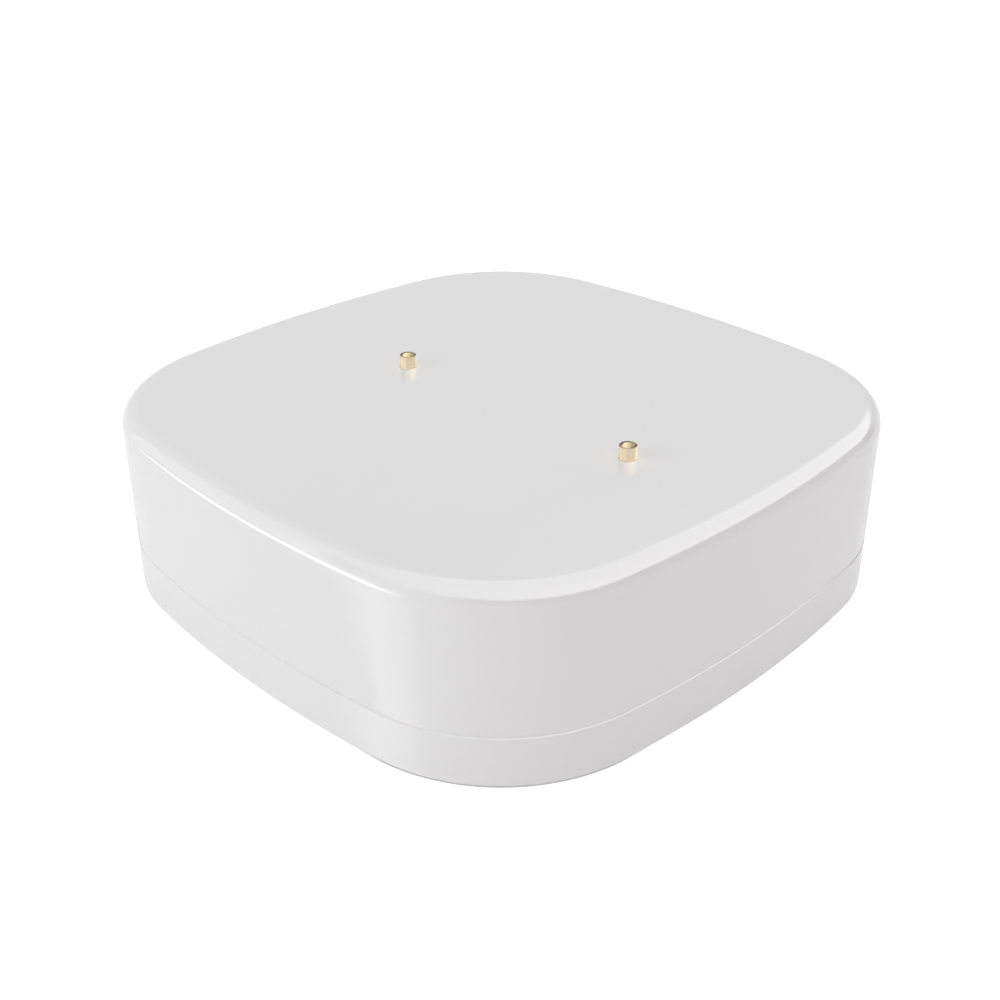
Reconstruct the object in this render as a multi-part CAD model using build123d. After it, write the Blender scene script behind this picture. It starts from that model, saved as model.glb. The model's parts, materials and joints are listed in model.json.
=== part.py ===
from build123d import *
from math import atan2, degrees, sqrt
import os

# A puck that senses water on a floor. It lies on its flat cover here, with its probes pointing up,
# and is turned over for use. Z = 0 is the cover's outer face, and the probes stand in a row along X.
# All sizes are in millimetres.

os.makedirs("parts", exist_ok=True)

# Body: a square with bowed sides, whose corners are arcs that run smoothly into the sides
body_width = 50.0
side_radius = 98.3
corner_radius = 13.3
skirt_height = 3.95
rim_radius = 1.35
foot_radius = 0.3
seam_chamfer = 0.1
housing_wall = 1.6
roof_thickness = 1.6
inner_rim_edge = 0.7

# Cover: floor, skirt, and the spigot that enters the housing
floor_thickness = 1.4
skirt_wall = 1.0
spigot_gap = 0.1
spigot_wall = 1.4
spigot_rise = 2.2
tongue_depth = 1.3
tongue_gap = 0.08
tongue_lead = 0.12
web_thickness = 0.8
web_side_shares = (-0.36, -0.12, 0.12, 0.36)
rib_thickness = 0.8
rib_height = 0.8
rib_shares = (-0.62, -0.31, 0.31, 0.62)
pry_notch_width = 7.5
pry_notch_height = 0.8
pry_notch_depth = 0.6

# Seal ring of the seam
seal_cord = 0.8
seal_gap = 0.05
seal_edge = 0.18

# Probes: dished pins with a flange that bears on a boss inside the roof
probe_diameter = 1.3
probe_stand = 1.0
probe_spacing = 22.9
probe_middle_x = 2.75
probe_row_y = -1.8
probe_edge = 0.05
probe_dish_diameter = 1.14
probe_dish_depth = 0.4
probe_flange_diameter = 3.6
probe_flange_thickness = 0.7
probe_tail_diameter = 1.2
probe_tail_length = 0.4
probe_bore_gap = 0.02
probe_boss_diameter = 5.4
probe_boss_height = 1.4
probe_seal_cord = 0.8
probe_seal_gap = 0.02
probe_seal_room = 0.15

# Main board and the posts that it is screwed to
board_thickness = 1.0
board_gap = 0.35
board_headroom = 3.7
board_key_width = 1.0
board_key_share = 0.36
board_key_gap = 0.1
boss_diameter = 4.2
boss_share = 0.633
gusset_length = 3.7
gusset_height = 2.4
screw_diameter = 1.6
screw_length = 3.8
screw_hole_extra = 0.5
screw_head_diameter = 3.0
screw_head_height = 1.1
screw_head_edge = 0.35
screw_recess_width = 0.45
screw_recess_length = 1.8
screw_recess_depth = 0.6
screw_passage_gap = 0.2
roof_rib_thickness = 0.8
roof_rib_depth = 0.9
roof_rib_share = 0.42

# Coin cell, its holder and its contacts
cell_diameter = 20.0
cell_height = 3.2
cell_edge = 0.5
cell_cap_margin = 1.2
cell_cap_rise = 0.3
cell_gasket_width = 0.5
cell_room = 2.35
holder_base = 0.8
holder_wall = 1.2
holder_gap = 0.2
holder_height = 3.2
holder_mouth_width = 12.5
holder_slot_gap = 0.25
holder_margin = 1.9
contact_sheet = 0.15
contact_width = 3.4
contact_rise = 0.35
contact_reach = 5.0
contact_foot = 1.7
clip_sheet = 0.25
clip_width = 5.0
clip_reach = 6.2
clip_foot = 2.0
clip_gap = 0.25
clip_bend = 0.4
cell_guard_share = 0.66
cell_guard_gap = 0.15

# Function button in the cover, with the switch under it
button_margin = 0.8
button_diameter = 7.5
button_recess = 0.25
button_gap = 0.1
button_lip = 0.8
button_edge = 0.25
button_dish_depth = 0.12
button_dish_rim = 0.75
button_flange_diameter = 9.2
button_flange_thickness = 0.6
button_stem_diameter = 3.4
button_travel = 0.5
button_stop_gap = 0.1
button_collar_wall = 0.8
button_retainer_thickness = 1.4
button_seal_cord = 0.7
button_seal_bite = 0.25
button_seal_gap = 0.05
press_gap = 0.05
switch_size = 5.2
switch_body_height = 2.6
switch_plate_thickness = 0.3
switch_plunger_diameter = 2.8
switch_plunger_stand = 1.2
switch_plunger_depth = 1.6
switch_plunger_gap = 0.05
switch_plunger_edge = 0.2
switch_corner = 0.4
switch_rivet_diameter = 0.6
switch_rivet_height = 0.1
switch_rivet_share = 0.38
switch_terminal_width = 0.6
switch_terminal_sheet = 0.15
switch_terminal_reach = 1.0
switch_terminal_rise = 0.7
switch_terminal_share = 0.36

# Light pipe in the cover, with the status light under it
light_offset = 8.8
light_pipe_diameter = 1.7
light_pipe_recess = 0.05
light_pipe_collar_diameter = 2.7
light_pipe_collar_height = 0.6
light_pipe_air = 0.4
light_pipe_gap = 0.02
light_size = (1.6, 0.8)
light_height = 0.7

# Parts on the board's probe side
radio_board_size = (14.0, 10.4)
radio_board_thickness = 0.7
radio_place_shares = (0.06, 0.50)
radio_notch_diameter = 0.6
radio_notch_pitch = 1.1
radio_notch_count = 10
shield_size = (10.0, 8.4)
shield_height = 1.5
shield_sheet = 0.15
shield_corner = 0.5
antenna_size = (5.2, 2.0)
antenna_height = 1.0
antenna_place_shares = (0.06, 0.86)
sensing_chip_size = (3.0, 3.0)
sensing_chip_height = 0.9
sensing_chip_place_shares = (0.12, -0.30)
bulk_capacitor_size = (6.0, 3.2)
bulk_capacitor_height = 2.2
bulk_capacitor_place_shares = (-0.30, -0.52)
diode_size = (1.7, 1.25)
diode_height = 0.9
diode_offset = 3.8
probe_contact_width = 1.4
probe_contact_sheet = 0.15
probe_contact_foot = 1.4
probe_contact_flat = 0.5
probe_contact_bend = 0.3

# Parts on the board's cover side
control_chip_size = (4.0, 4.0)
control_chip_height = 0.85
control_chip_place_shares = (0.42, 0.45)
crystal_size = (3.2, 1.5)
crystal_height = 0.8
crystal_place_shares = (0.42, 0.64)
chip_edge = 0.12
small_part_size = (1.6, 0.8)
capacitor_height = 0.8
resistor_height = 0.45
capacitor_place_shares = ((0.26, 0.60), (0.26, 0.68), (0.45, 0.28), (0.30, -0.50), (0.30, -0.58))
resistor_column_shares = (0.45, 0.60)
resistor_row_shares = (-0.40, -0.48, -0.56)

# How far a cut runs past the face that it opens
overrun = 1.0

# Levels and places worked out from the sizes above
half_width = body_width / 2
side_centre = side_radius - half_width
corner_centre = (sqrt(2 * (side_radius - corner_radius) ** 2 - side_centre**2) - side_centre) / 2
side_angle = degrees(atan2(corner_centre, side_centre + corner_centre))
cell_low = floor_thickness + cell_room + clip_sheet
cell_top = cell_low + cell_height
board_under = cell_top + contact_rise + holder_base
board_top = board_under + board_thickness
roof_under = board_top + board_headroom
body_height = roof_under + roof_thickness
board_half = half_width - housing_wall - board_gap
spigot_inset = housing_wall + spigot_gap
spigot_top = skirt_height + spigot_rise
seal_level = skirt_height + spigot_rise / 2
probe_places = [(probe_middle_x + side * probe_spacing / 2, probe_row_y) for side in (-1, 1)]
boss_places = [(x * boss_share * half_width, y * boss_share * half_width) for x in (-1, 1) for y in (-1, 1)]
cell_cap_diameter = cell_diameter - 2 * cell_cap_margin
holder_inner = cell_diameter / 2 + holder_gap
holder_outer = holder_inner + holder_wall
cell_place = (holder_outer + holder_margin + spigot_inset + spigot_wall - half_width, 0)
plunger_tip = board_under - switch_body_height - switch_plate_thickness - switch_plunger_stand
stem_top = plunger_tip - press_gap
flange_low = button_lip
flange_top = flange_low + button_flange_thickness
retainer_low = flange_top + button_travel + button_stop_gap
collar_top = retainer_low + button_retainer_thickness
collar_bore = button_flange_diameter / 2 + 2 * button_gap
button_seal_radius = (button_stem_diameter + button_seal_cord) / 2 - button_seal_bite
retainer_bore = button_seal_radius + button_seal_cord / 2 + button_seal_gap
collar_outer = collar_bore + button_collar_wall
button_x = half_width - spigot_inset - spigot_wall - button_margin - collar_outer
button_place = (button_x, 0)
light_place = (button_x, light_offset)

FROM_BELOW = (Align.CENTER, Align.CENTER, Align.MIN)


def outline(inset):
    """The body's outline, moved inwards by inset."""
    arcs = []
    for turn in (0, 90, 180, 270):
        side = CenterArc((-side_centre, 0), side_radius - inset, -side_angle, 2 * side_angle)
        corner_at = (corner_centre, corner_centre)
        corner = CenterArc(corner_at, corner_radius - inset, side_angle, 90 - 2 * side_angle)
        arcs += [Rot(0, 0, turn) * side, Rot(0, 0, turn) * corner]
    return make_face(arcs)


def slab(inset, low, high):
    """The body's outline as a solid, from one level to another."""
    return extrude(Pos(0, 0, low) * outline(inset), amount=high - low)


def ring(outer_inset, inner_inset, low, high):
    """A wall that follows the body's outline."""
    return slab(outer_inset, low, high) - slab(inner_inset, low - overrun, high + overrun)


def post(place, radius, low, high):
    """A round post at a place."""
    return Pos(*place, low) * Cylinder(radius, high - low, align=FROM_BELOW)


def block(place, size, low, high):
    """A block at a place, of a size along X and Y."""
    return Pos(*place, low) * Box(size[0], size[1], high - low, align=FROM_BELOW)


def turned(points):
    """A solid of revolution about Z, from points of radius and height."""
    return revolve(make_face(Plane.XZ * Polyline(*points, close=True)), Axis.Z)


def bent_strip(points, sheet, width, bend):
    """A strip of sheet metal whose middle line runs through points of X and Z."""
    path = Plane.XZ * FilletPolyline(*points, radius=bend)
    start = Plane(path @ 0, x_dir=(0, 1, 0), z_dir=path % 0)
    return sweep(start * Rectangle(width, sheet), path=path)


def on_board(shares):
    """A place on the board, from shares of its half width."""
    return (shares[0] * board_half, shares[1] * board_half)


def eased_block(place, size, low, high, edge):
    """A block whose upright edges are chamfered, for a chip or a can."""
    body = block(place, size, low, high)
    return chamfer(body.edges().filter_by(Axis.Z), edge)


def base_cover():
    """Shallow shell that the object lies on: skirt, webbed channel, spigot, ribs and button collar."""
    cover = slab(0, 0, skirt_height)
    cover = fillet(cover.edges().group_by(Axis.Z)[0], foot_radius)
    cover = chamfer(cover.edges().group_by(Axis.Z)[-1], seam_chamfer)
    cover -= slab(skirt_wall, floor_thickness, skirt_height + overrun)
    spigot_inner = spigot_inset + spigot_wall
    cover += ring(spigot_inset, spigot_inner, floor_thickness, spigot_top)
    groove_half = seal_cord / 2 + seal_gap
    groove_depth = seal_cord + 2 * seal_gap
    cover -= ring(0, housing_wall + groove_depth, seal_level - groove_half, seal_level + groove_half)
    cover += channel_webs()
    cover += floor_ribs(spigot_inner)
    cover += post(button_place, collar_outer, floor_thickness, collar_top)
    cover -= post(button_place, collar_bore, button_lip, collar_top + overrun)
    cover -= post(button_place, button_diameter / 2 + button_gap, -overrun, button_lip + overrun)
    collar_room = light_pipe_collar_diameter / 2 + light_pipe_gap
    cover -= post(light_place, collar_room, floor_thickness, spigot_top)
    light_bore = light_pipe_diameter / 2 + light_pipe_gap
    cover -= post(light_place, light_bore, -overrun, floor_thickness + overrun)
    notch_size = (pry_notch_width, 2 * pry_notch_depth)
    cover -= block((0, half_width), notch_size, skirt_height - pry_notch_height, skirt_height + overrun)
    return cover


def channel_webs():
    """Webs across the channel between the skirt and the spigot, below the housing's tongue."""
    web_top = skirt_height - tongue_depth - tongue_gap
    bars = Part()
    for turn in (0, 90, 180, 270):
        for share in web_side_shares:
            across = (2 * spigot_inset + 2 * skirt_wall, web_thickness)
            bar = block((half_width - spigot_inset, share * body_width), across, floor_thickness, web_top)
            bars += Rot(0, 0, turn) * bar
        reach = (2 * half_width, web_thickness)
        bars += Rot(0, 0, turn + 45) * block((half_width, 0), reach, floor_thickness, web_top)
    return bars & ring(skirt_wall, spigot_inset, floor_thickness, web_top)


def floor_ribs(inset):
    """Ribs that stiffen the cover's floor, and the round guard that stops just short of the cell."""
    rib_top = floor_thickness + rib_height
    lattice = Part()
    for share in rib_shares:
        lattice += block((0, share * half_width), (body_width, rib_thickness), floor_thickness, rib_top)
        lattice += block((share * half_width, 0), (rib_thickness, body_width), floor_thickness, rib_top)
    lattice &= slab(inset, floor_thickness, rib_top)
    guard_radius = cell_guard_share * cell_diameter / 2
    guard_top = cell_low - clip_sheet - cell_guard_gap
    guard = post(cell_place, guard_radius, floor_thickness, guard_top)
    guard -= post(cell_place, guard_radius - rib_thickness, floor_thickness, guard_top)
    return lattice + guard


def seal_ring():
    """Moulded ring of silicone, of eased square section, that lies in the spigot's groove."""
    inset = housing_wall + seal_gap
    low = seal_level - seal_cord / 2
    seal = ring(inset, inset + seal_cord, low, low + seal_cord)
    rims = seal.edges().group_by(Axis.Z)
    return chamfer(rims[0] + rims[-1], seal_edge)


def small_ring(radius, cord):
    """A small sealing ring about Z, whose section is a circle drawn as an octagon."""
    section = Pos(radius, 0) * RegularPolygon(cord / 2, 8, major_radius=False, rotation=180 / 8)
    return revolve(Plane.XZ * section, Axis.Z)


def light_pipe():
    """Clear rod that carries the status light to the cover's outer face."""
    tip = board_under - light_height - light_pipe_air
    radius = light_pipe_diameter / 2
    collar_high = floor_thickness + light_pipe_collar_height
    rod = post(light_place, radius, light_pipe_recess, tip)
    return rod + post(light_place, light_pipe_collar_diameter / 2, floor_thickness, collar_high)


def button_retainer():
    """Ring pressed into the collar, which keeps the button in the cover."""
    retainer = post(button_place, collar_bore, retainer_low, collar_top)
    return retainer - post(button_place, retainer_bore, retainer_low - overrun, collar_top + overrun)


def function_button():
    """Button with a shallow dish for the finger, a flange that holds it in, and a stem."""
    radius = button_diameter / 2
    stem = button_stem_diameter / 2
    seal_root = button_seal_radius - button_seal_cord / 2
    seal_low = retainer_low + button_gap
    seal_high = seal_low + button_seal_cord
    dish = radius - button_dish_rim
    profile = [
        (0, button_recess + button_dish_depth),
        (dish - button_dish_depth, button_recess + button_dish_depth),
        (dish, button_recess),
        (radius - button_edge, button_recess),
        (radius, button_recess + button_edge),
        (radius, flange_low),
        (button_flange_diameter / 2, flange_low),
        (button_flange_diameter / 2, flange_top),
        (stem, flange_top),
        (stem, seal_low),
        (seal_root, seal_low),
        (seal_root, seal_high),
        (stem, seal_high),
        (stem, stem_top),
        (0, stem_top),
    ]
    return Pos(*button_place, 0) * turned(profile)


def button_seal():
    """O-ring in the stem's groove."""
    level = retainer_low + button_gap + button_seal_cord / 2
    return Pos(*button_place, level) * small_ring(button_seal_radius, button_seal_cord)


def probe_housing():
    """Deep shell with the rounded rim, the tongue of the seam, and every boss that holds something."""
    shell = slab(0, skirt_height, body_height)
    shell = fillet(shell.edges().group_by(Axis.Z)[-1], rim_radius)
    shell = chamfer(shell.edges().group_by(Axis.Z)[0], seam_chamfer)
    cavity = slab(housing_wall, skirt_height - overrun, roof_under)
    shell -= chamfer(cavity.edges().group_by(Axis.Z)[-1], inner_rim_edge)
    shell += seam_tongue()
    shell += board_keys()
    shell += roof_ribs()
    for place in boss_places:
        shell += board_boss(place)
    for place in probe_places:
        shell += post(place, probe_boss_diameter / 2, roof_under - probe_boss_height, roof_under)
    hole_top = board_under + screw_length + screw_hole_extra
    for place in boss_places:
        shell -= post(place, screw_diameter / 2, board_top - overrun, hole_top)
    seal_room = probe_seal_cord + probe_seal_room
    boss_low = roof_under - probe_boss_height
    for place in probe_places:
        shell -= post(place, probe_diameter / 2 + probe_bore_gap, boss_low - overrun, body_height + overrun)
        pocket = probe_diameter / 2 + probe_seal_cord + 2 * probe_seal_gap
        shell -= post(place, pocket, boss_low - overrun, boss_low + seal_room)
    return shell


def seam_tongue():
    """Thin wall that drops into the cover's channel."""
    low = skirt_height - tongue_depth
    inset = skirt_wall + tongue_gap
    tongue = ring(inset, housing_wall, low, skirt_height)
    return chamfer(tongue.edges().group_by(Axis.Z)[0], tongue_lead)


def board_keys():
    """Short ribs down the inner wall that centre the board."""
    low = board_under - board_thickness
    depth = board_gap - board_key_gap
    keys = Part()
    for turn in (0, 90, 180, 270):
        for side in (-1, 1):
            place = (half_width - housing_wall, side * board_key_share * half_width)
            keys += Rot(0, 0, turn) * block(place, (half_width, board_key_width), low, roof_under)
    return keys & ring(housing_wall, housing_wall + depth, low, roof_under)


def roof_ribs():
    """Crossed ribs under the roof."""
    low = roof_under - roof_rib_depth
    ribs = Part()
    for side in (-1, 1):
        offset_to = side * roof_rib_share * half_width
        ribs += block((0, offset_to), (body_width, roof_rib_thickness), low, roof_under)
        ribs += block((offset_to, 0), (roof_rib_thickness, body_width), low, roof_under)
    return ribs & slab(housing_wall, low, roof_under)


def board_boss(place):
    """Post for a board screw, with two gussets that run along X and Y."""
    boss = post(place, boss_diameter / 2, board_top, roof_under)
    low = roof_under - gusset_height
    for size in ((gusset_length, rib_thickness), (rib_thickness, gusset_length)):
        outward = (place[0] - size[0] / 2 * sign(place[0]), place[1] - size[1] / 2 * sign(place[1]))
        boss += block(outward, size, low, roof_under)
    return boss


def sign(value):
    return 1 if value > 0 else -1


def probe(place):
    """Turned pin: dished tip, shank through the roof, flange on the boss, tail for the contact."""
    tip = body_height + probe_stand
    radius = probe_diameter / 2
    dish = probe_dish_diameter / 2
    ball = (dish**2 + probe_dish_depth**2) / (2 * probe_dish_depth)
    flange_high = roof_under - probe_boss_height
    flange_under = flange_high - probe_flange_thickness
    tail_low = flange_under - probe_tail_length
    profile = [
        (0, tip),
        (radius - probe_edge, tip),
        (radius, tip - probe_edge),
        (radius, flange_high),
        (probe_flange_diameter / 2, flange_high),
        (probe_flange_diameter / 2, flange_under),
        (probe_tail_diameter / 2, flange_under),
        (probe_tail_diameter / 2, tail_low),
        (0, tail_low),
    ]
    pin = turned(profile) - Pos(0, 0, tip + ball - probe_dish_depth) * Sphere(ball)
    return Pos(*place, 0) * pin


def probe_seal(place):
    """O-ring round the probe, in the boss's pocket."""
    level = roof_under - probe_boss_height + (probe_seal_cord + probe_seal_room) / 2
    ring_radius = (probe_diameter + probe_seal_cord) / 2 + probe_seal_gap
    return Pos(*place, level) * small_ring(ring_radius, probe_seal_cord)


def probe_contact(place):
    """Bent spring strip, soldered to the board, that presses the probe's tail."""
    flange_under = roof_under - probe_boss_height - probe_flange_thickness
    low = board_top + probe_contact_sheet / 2
    high = flange_under - probe_tail_length - probe_contact_sheet / 2
    drop = low + (high - low) / 2
    points = [
        (probe_contact_foot, low),
        (-probe_contact_foot, low),
        (-probe_contact_foot, drop),
        (-probe_contact_flat, high),
        (probe_contact_flat, high),
        (probe_contact_foot, drop),
    ]
    strip = bent_strip(points, probe_contact_sheet, probe_contact_width, probe_contact_bend)
    return Pos(*place, 0) * strip


def main_board():
    """Board that fills the housing's outline, held by four screws."""
    board = slab(housing_wall + board_gap, board_under, board_top)
    passage = screw_diameter / 2 + screw_passage_gap
    for place in boss_places:
        board -= post(place, passage, board_under - overrun, board_top + overrun)
    return board


def board_screws():
    """Four screws with domed heads and cross recesses, driven from the cover's side."""
    radius = screw_diameter / 2
    head = screw_head_diameter / 2
    head_low = board_under - screw_head_height
    profile = [
        (0, head_low),
        (head - screw_head_edge, head_low),
        (head, head_low + screw_head_edge),
        (head, board_under),
        (radius, board_under),
        (radius, board_under + screw_length - radius),
        (0, board_under + screw_length),
    ]
    screw = turned(profile)
    for size in ((screw_recess_length, screw_recess_width), (screw_recess_width, screw_recess_length)):
        screw -= block((0, 0), size, head_low - overrun, head_low + screw_recess_depth)
    return [Pos(x, y, 0) * screw for x, y in boss_places]


def battery_holder():
    """Moulded cradle for the cell: base, round wall with a mouth towards -X, and a contact slot."""
    low = board_under - holder_base - holder_height
    holder = post(cell_place, holder_outer, low, board_under)
    holder -= post(cell_place, holder_inner, low - overrun, board_under - holder_base)
    mouth = (cell_place[0] - holder_outer, 0)
    mouth_size = (holder_outer, holder_mouth_width)
    holder -= block(mouth, mouth_size, low - overrun, board_under - holder_base)
    slot_size = (contact_foot + 2 * holder_slot_gap, contact_width + 2 * holder_slot_gap)
    slot_at = (cell_place[0] - contact_reach - contact_foot / 2, 0)
    holder -= block(slot_at, slot_size, low - overrun, board_under + overrun)
    return holder


def battery_contact():
    """Sprung strip between the holder's base and the cell's cap."""
    foot_level = board_under - contact_sheet / 2
    base_level = board_under - holder_base - contact_sheet / 2
    touch_level = cell_top + contact_sheet / 2
    points = [
        (-contact_reach - contact_foot, foot_level),
        (-contact_reach, foot_level),
        (-contact_reach, base_level),
        (-contact_foot / 2, touch_level),
        (contact_foot / 2, touch_level),
        (contact_reach, base_level),
    ]
    return Pos(*cell_place, 0) * bent_strip(points, contact_sheet, contact_width, contact_sheet)


def battery_clip():
    """Strip that rises from the board beside the holder and hooks over the cell's outer face."""
    foot_level = board_under - clip_sheet / 2
    hook_level = cell_low - clip_sheet / 2
    upright = holder_outer + clip_gap + clip_sheet / 2
    points = [
        (upright + clip_foot, foot_level),
        (upright, foot_level),
        (upright, hook_level),
        (upright - clip_reach, hook_level),
    ]
    strip = bent_strip(points, clip_sheet, clip_width, clip_bend)
    return Pos(*cell_place, 0) * Rot(0, 0, 90) * strip


def cell_can():
    """The cell's can, whose flat face is towards the cover."""
    radius = cell_diameter / 2
    seat = cell_cap_diameter / 2 + cell_gasket_width
    shoulder = cell_top - cell_cap_rise
    profile = [
        (0, cell_low),
        (radius - cell_edge, cell_low),
        (radius, cell_low + cell_edge),
        (radius, shoulder - cell_edge),
        (radius - cell_edge, shoulder),
        (seat, shoulder),
        (seat, shoulder - cell_edge),
        (0, shoulder - cell_edge),
    ]
    return Pos(*cell_place, 0) * turned(profile)


def cell_gasket():
    """Thin ring that keeps the can and the cap apart."""
    inner = cell_cap_diameter / 2
    low = cell_top - cell_cap_rise - cell_edge
    gasket = post(cell_place, inner + cell_gasket_width, low, cell_top - cell_cap_rise)
    return gasket - post(cell_place, inner, low - overrun, cell_top)


def cell_cap():
    """The cell's cap, which the sprung contact touches."""
    low = cell_top - cell_cap_rise - cell_edge
    cap = post(cell_place, cell_cap_diameter / 2, low, cell_top)
    return chamfer(cap.edges().group_by(Axis.Z)[-1], cell_cap_rise / 2)


def switch_body():
    """Moulded body of the tactile switch, with the plunger's blind bore."""
    low = board_under - switch_body_height
    bore_top = low + switch_plunger_depth + button_travel + button_stop_gap
    body = eased_block(button_place, (switch_size, switch_size), low, board_under, switch_corner)
    return body - post(button_place, switch_bore(), low - overrun, bore_top)


def switch_bore():
    return switch_plunger_diameter / 2 + switch_plunger_gap


def switch_plate():
    """Metal plate on the switch, with a rivet head at each corner."""
    high = board_under - switch_body_height
    low = high - switch_plate_thickness
    plate = eased_block(button_place, (switch_size, switch_size), low, high, switch_corner)
    reach = switch_rivet_share * switch_size
    for x in (-reach, reach):
        for y in (-reach, reach):
            plate += post((button_x + x, y), switch_rivet_diameter / 2, low - switch_rivet_height, low)
    return plate - post(button_place, switch_bore(), low - overrun, high + overrun)


def switch_plunger():
    """Plunger that the button's stem presses."""
    radius = switch_plunger_diameter / 2
    top = board_under - switch_body_height + switch_plunger_depth
    plunger = post(button_place, radius, plunger_tip, top)
    return chamfer(plunger.edges().group_by(Axis.Z)[0], switch_plunger_edge)


def switch_terminals():
    """Four bent legs that are soldered to the board."""
    half = switch_size / 2
    foot_level = board_under - switch_terminal_sheet / 2
    points = [
        (half, board_under - switch_terminal_rise),
        (half + switch_terminal_reach / 2, board_under - switch_terminal_rise),
        (half + switch_terminal_reach / 2, foot_level),
        (half + switch_terminal_reach, foot_level),
    ]
    leg = bent_strip(points, switch_terminal_sheet, switch_terminal_width, switch_terminal_sheet)
    shift = switch_terminal_share * switch_size
    legs = []
    for turn in (90, 270):
        for side in (-shift, shift):
            legs.append(Pos(button_x + side, 0, 0) * Rot(0, 0, turn) * leg)
    return legs


def status_led():
    """Small light under the light pipe."""
    return block(light_place, light_size, board_under - light_height, board_under)


def radio_board():
    """Small board with half-round plated notches along two sides."""
    place = on_board(radio_place_shares)
    high = board_top + radio_board_thickness
    board = block(place, radio_board_size, board_top, high)
    first = -(radio_notch_count - 1) / 2
    for number in range(radio_notch_count):
        x = place[0] + (first + number) * radio_notch_pitch
        for y in (place[1] - radio_board_size[1] / 2, place[1] + radio_board_size[1] / 2):
            board -= post((x, y), radio_notch_diameter / 2, board_top - overrun, high + overrun)
    return board


def radio_shield():
    """Thin can over the radio's circuits."""
    place = on_board(radio_place_shares)
    low = board_top + radio_board_thickness
    can = eased_block(place, shield_size, low, low + shield_height, shield_corner)
    inside = [size - 2 * shield_sheet for size in shield_size]
    hollow_top = low + shield_height - shield_sheet
    return can - eased_block(place, inside, low - overrun, hollow_top, shield_corner)


def board_chip(shares, size, height, above):
    """A flat part soldered to one side of the board."""
    level = (board_top, board_top + height) if above else (board_under - height, board_under)
    return eased_block(on_board(shares), size, level[0], level[1], chip_edge)


def small_parts(place_shares, height):
    """A group of small parts on the board's cover side."""
    places = [on_board(shares) for shares in place_shares]
    return [block(place, small_part_size, board_under - height, board_under) for place in places]


def protection_diodes():
    """One diode beside each probe."""
    places = [(x, y + diode_offset) for x, y in probe_places]
    return [block(place, diode_size, board_top, board_top + diode_height) for place in places]


def save(name, shape):
    """Writes one node: a solid, or a group of separate solids."""
    solids = shape if isinstance(shape, list) else shape.solids()
    whole = solids[0] if len(solids) == 1 else Compound(children=list(solids))
    export_step(whole, f"parts/{name}.step")
    print(name, len(solids))


save("base_cover", base_cover())
save("seal_ring", seal_ring())
save("light_pipe", light_pipe())
save("button_retainer", button_retainer())
save("function_button", function_button())
save("button_seal", button_seal())
save("probe_housing", probe_housing())
for side_name, probe_place in zip(("left", "right"), probe_places):
    save(f"{side_name}_probe", probe(probe_place))
    save(f"{side_name}_probe_seal", probe_seal(probe_place))
    save(f"{side_name}_probe_contact", probe_contact(probe_place))
save("main_board", main_board())
save("board_screws", board_screws())
save("battery_holder", battery_holder())
save("battery_contact", battery_contact())
save("battery_clip", battery_clip())
save("cell_can", cell_can())
save("cell_gasket", cell_gasket())
save("cell_cap", cell_cap())
save("switch_body", switch_body())
save("switch_plate", switch_plate())
save("switch_plunger", switch_plunger())
save("switch_terminals", switch_terminals())
save("status_led", status_led())
save("radio_board", radio_board())
save("radio_shield", radio_shield())
save("chip_antenna", board_chip(antenna_place_shares, antenna_size, antenna_height, True))
save("sensing_chip", board_chip(sensing_chip_place_shares, sensing_chip_size, sensing_chip_height, True))
capacitor_body = board_chip(bulk_capacitor_place_shares, bulk_capacitor_size, bulk_capacitor_height, True)
save("bulk_capacitor", capacitor_body)
save("control_chip", board_chip(control_chip_place_shares, control_chip_size, control_chip_height, False))
save("crystal", board_chip(crystal_place_shares, crystal_size, crystal_height, False))
save("ceramic_capacitors", small_parts(capacitor_place_shares, capacitor_height))
resistor_shares = [(column, row) for column in resistor_column_shares for row in resistor_row_shares]
save("resistors", small_parts(resistor_shares, resistor_height))
save("protection_diodes", protection_diodes())
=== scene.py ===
import json
import math

import bmesh
import bpy
from mathutils import Matrix, Vector


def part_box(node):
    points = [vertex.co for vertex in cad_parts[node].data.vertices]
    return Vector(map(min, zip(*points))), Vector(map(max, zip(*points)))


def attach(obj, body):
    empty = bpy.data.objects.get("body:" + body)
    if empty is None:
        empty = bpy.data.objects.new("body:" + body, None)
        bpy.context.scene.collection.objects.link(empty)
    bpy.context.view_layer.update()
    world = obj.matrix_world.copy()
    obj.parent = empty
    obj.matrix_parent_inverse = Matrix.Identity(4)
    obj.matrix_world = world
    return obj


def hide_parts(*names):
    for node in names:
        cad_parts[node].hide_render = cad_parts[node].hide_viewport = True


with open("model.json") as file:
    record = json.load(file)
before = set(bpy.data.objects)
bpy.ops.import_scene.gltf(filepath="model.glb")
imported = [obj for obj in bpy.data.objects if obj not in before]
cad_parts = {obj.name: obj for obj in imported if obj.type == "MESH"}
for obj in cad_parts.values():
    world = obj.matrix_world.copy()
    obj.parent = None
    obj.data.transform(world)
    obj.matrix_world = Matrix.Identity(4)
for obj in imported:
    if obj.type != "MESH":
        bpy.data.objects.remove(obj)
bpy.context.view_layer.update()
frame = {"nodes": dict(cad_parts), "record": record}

MM = 0.001

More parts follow.
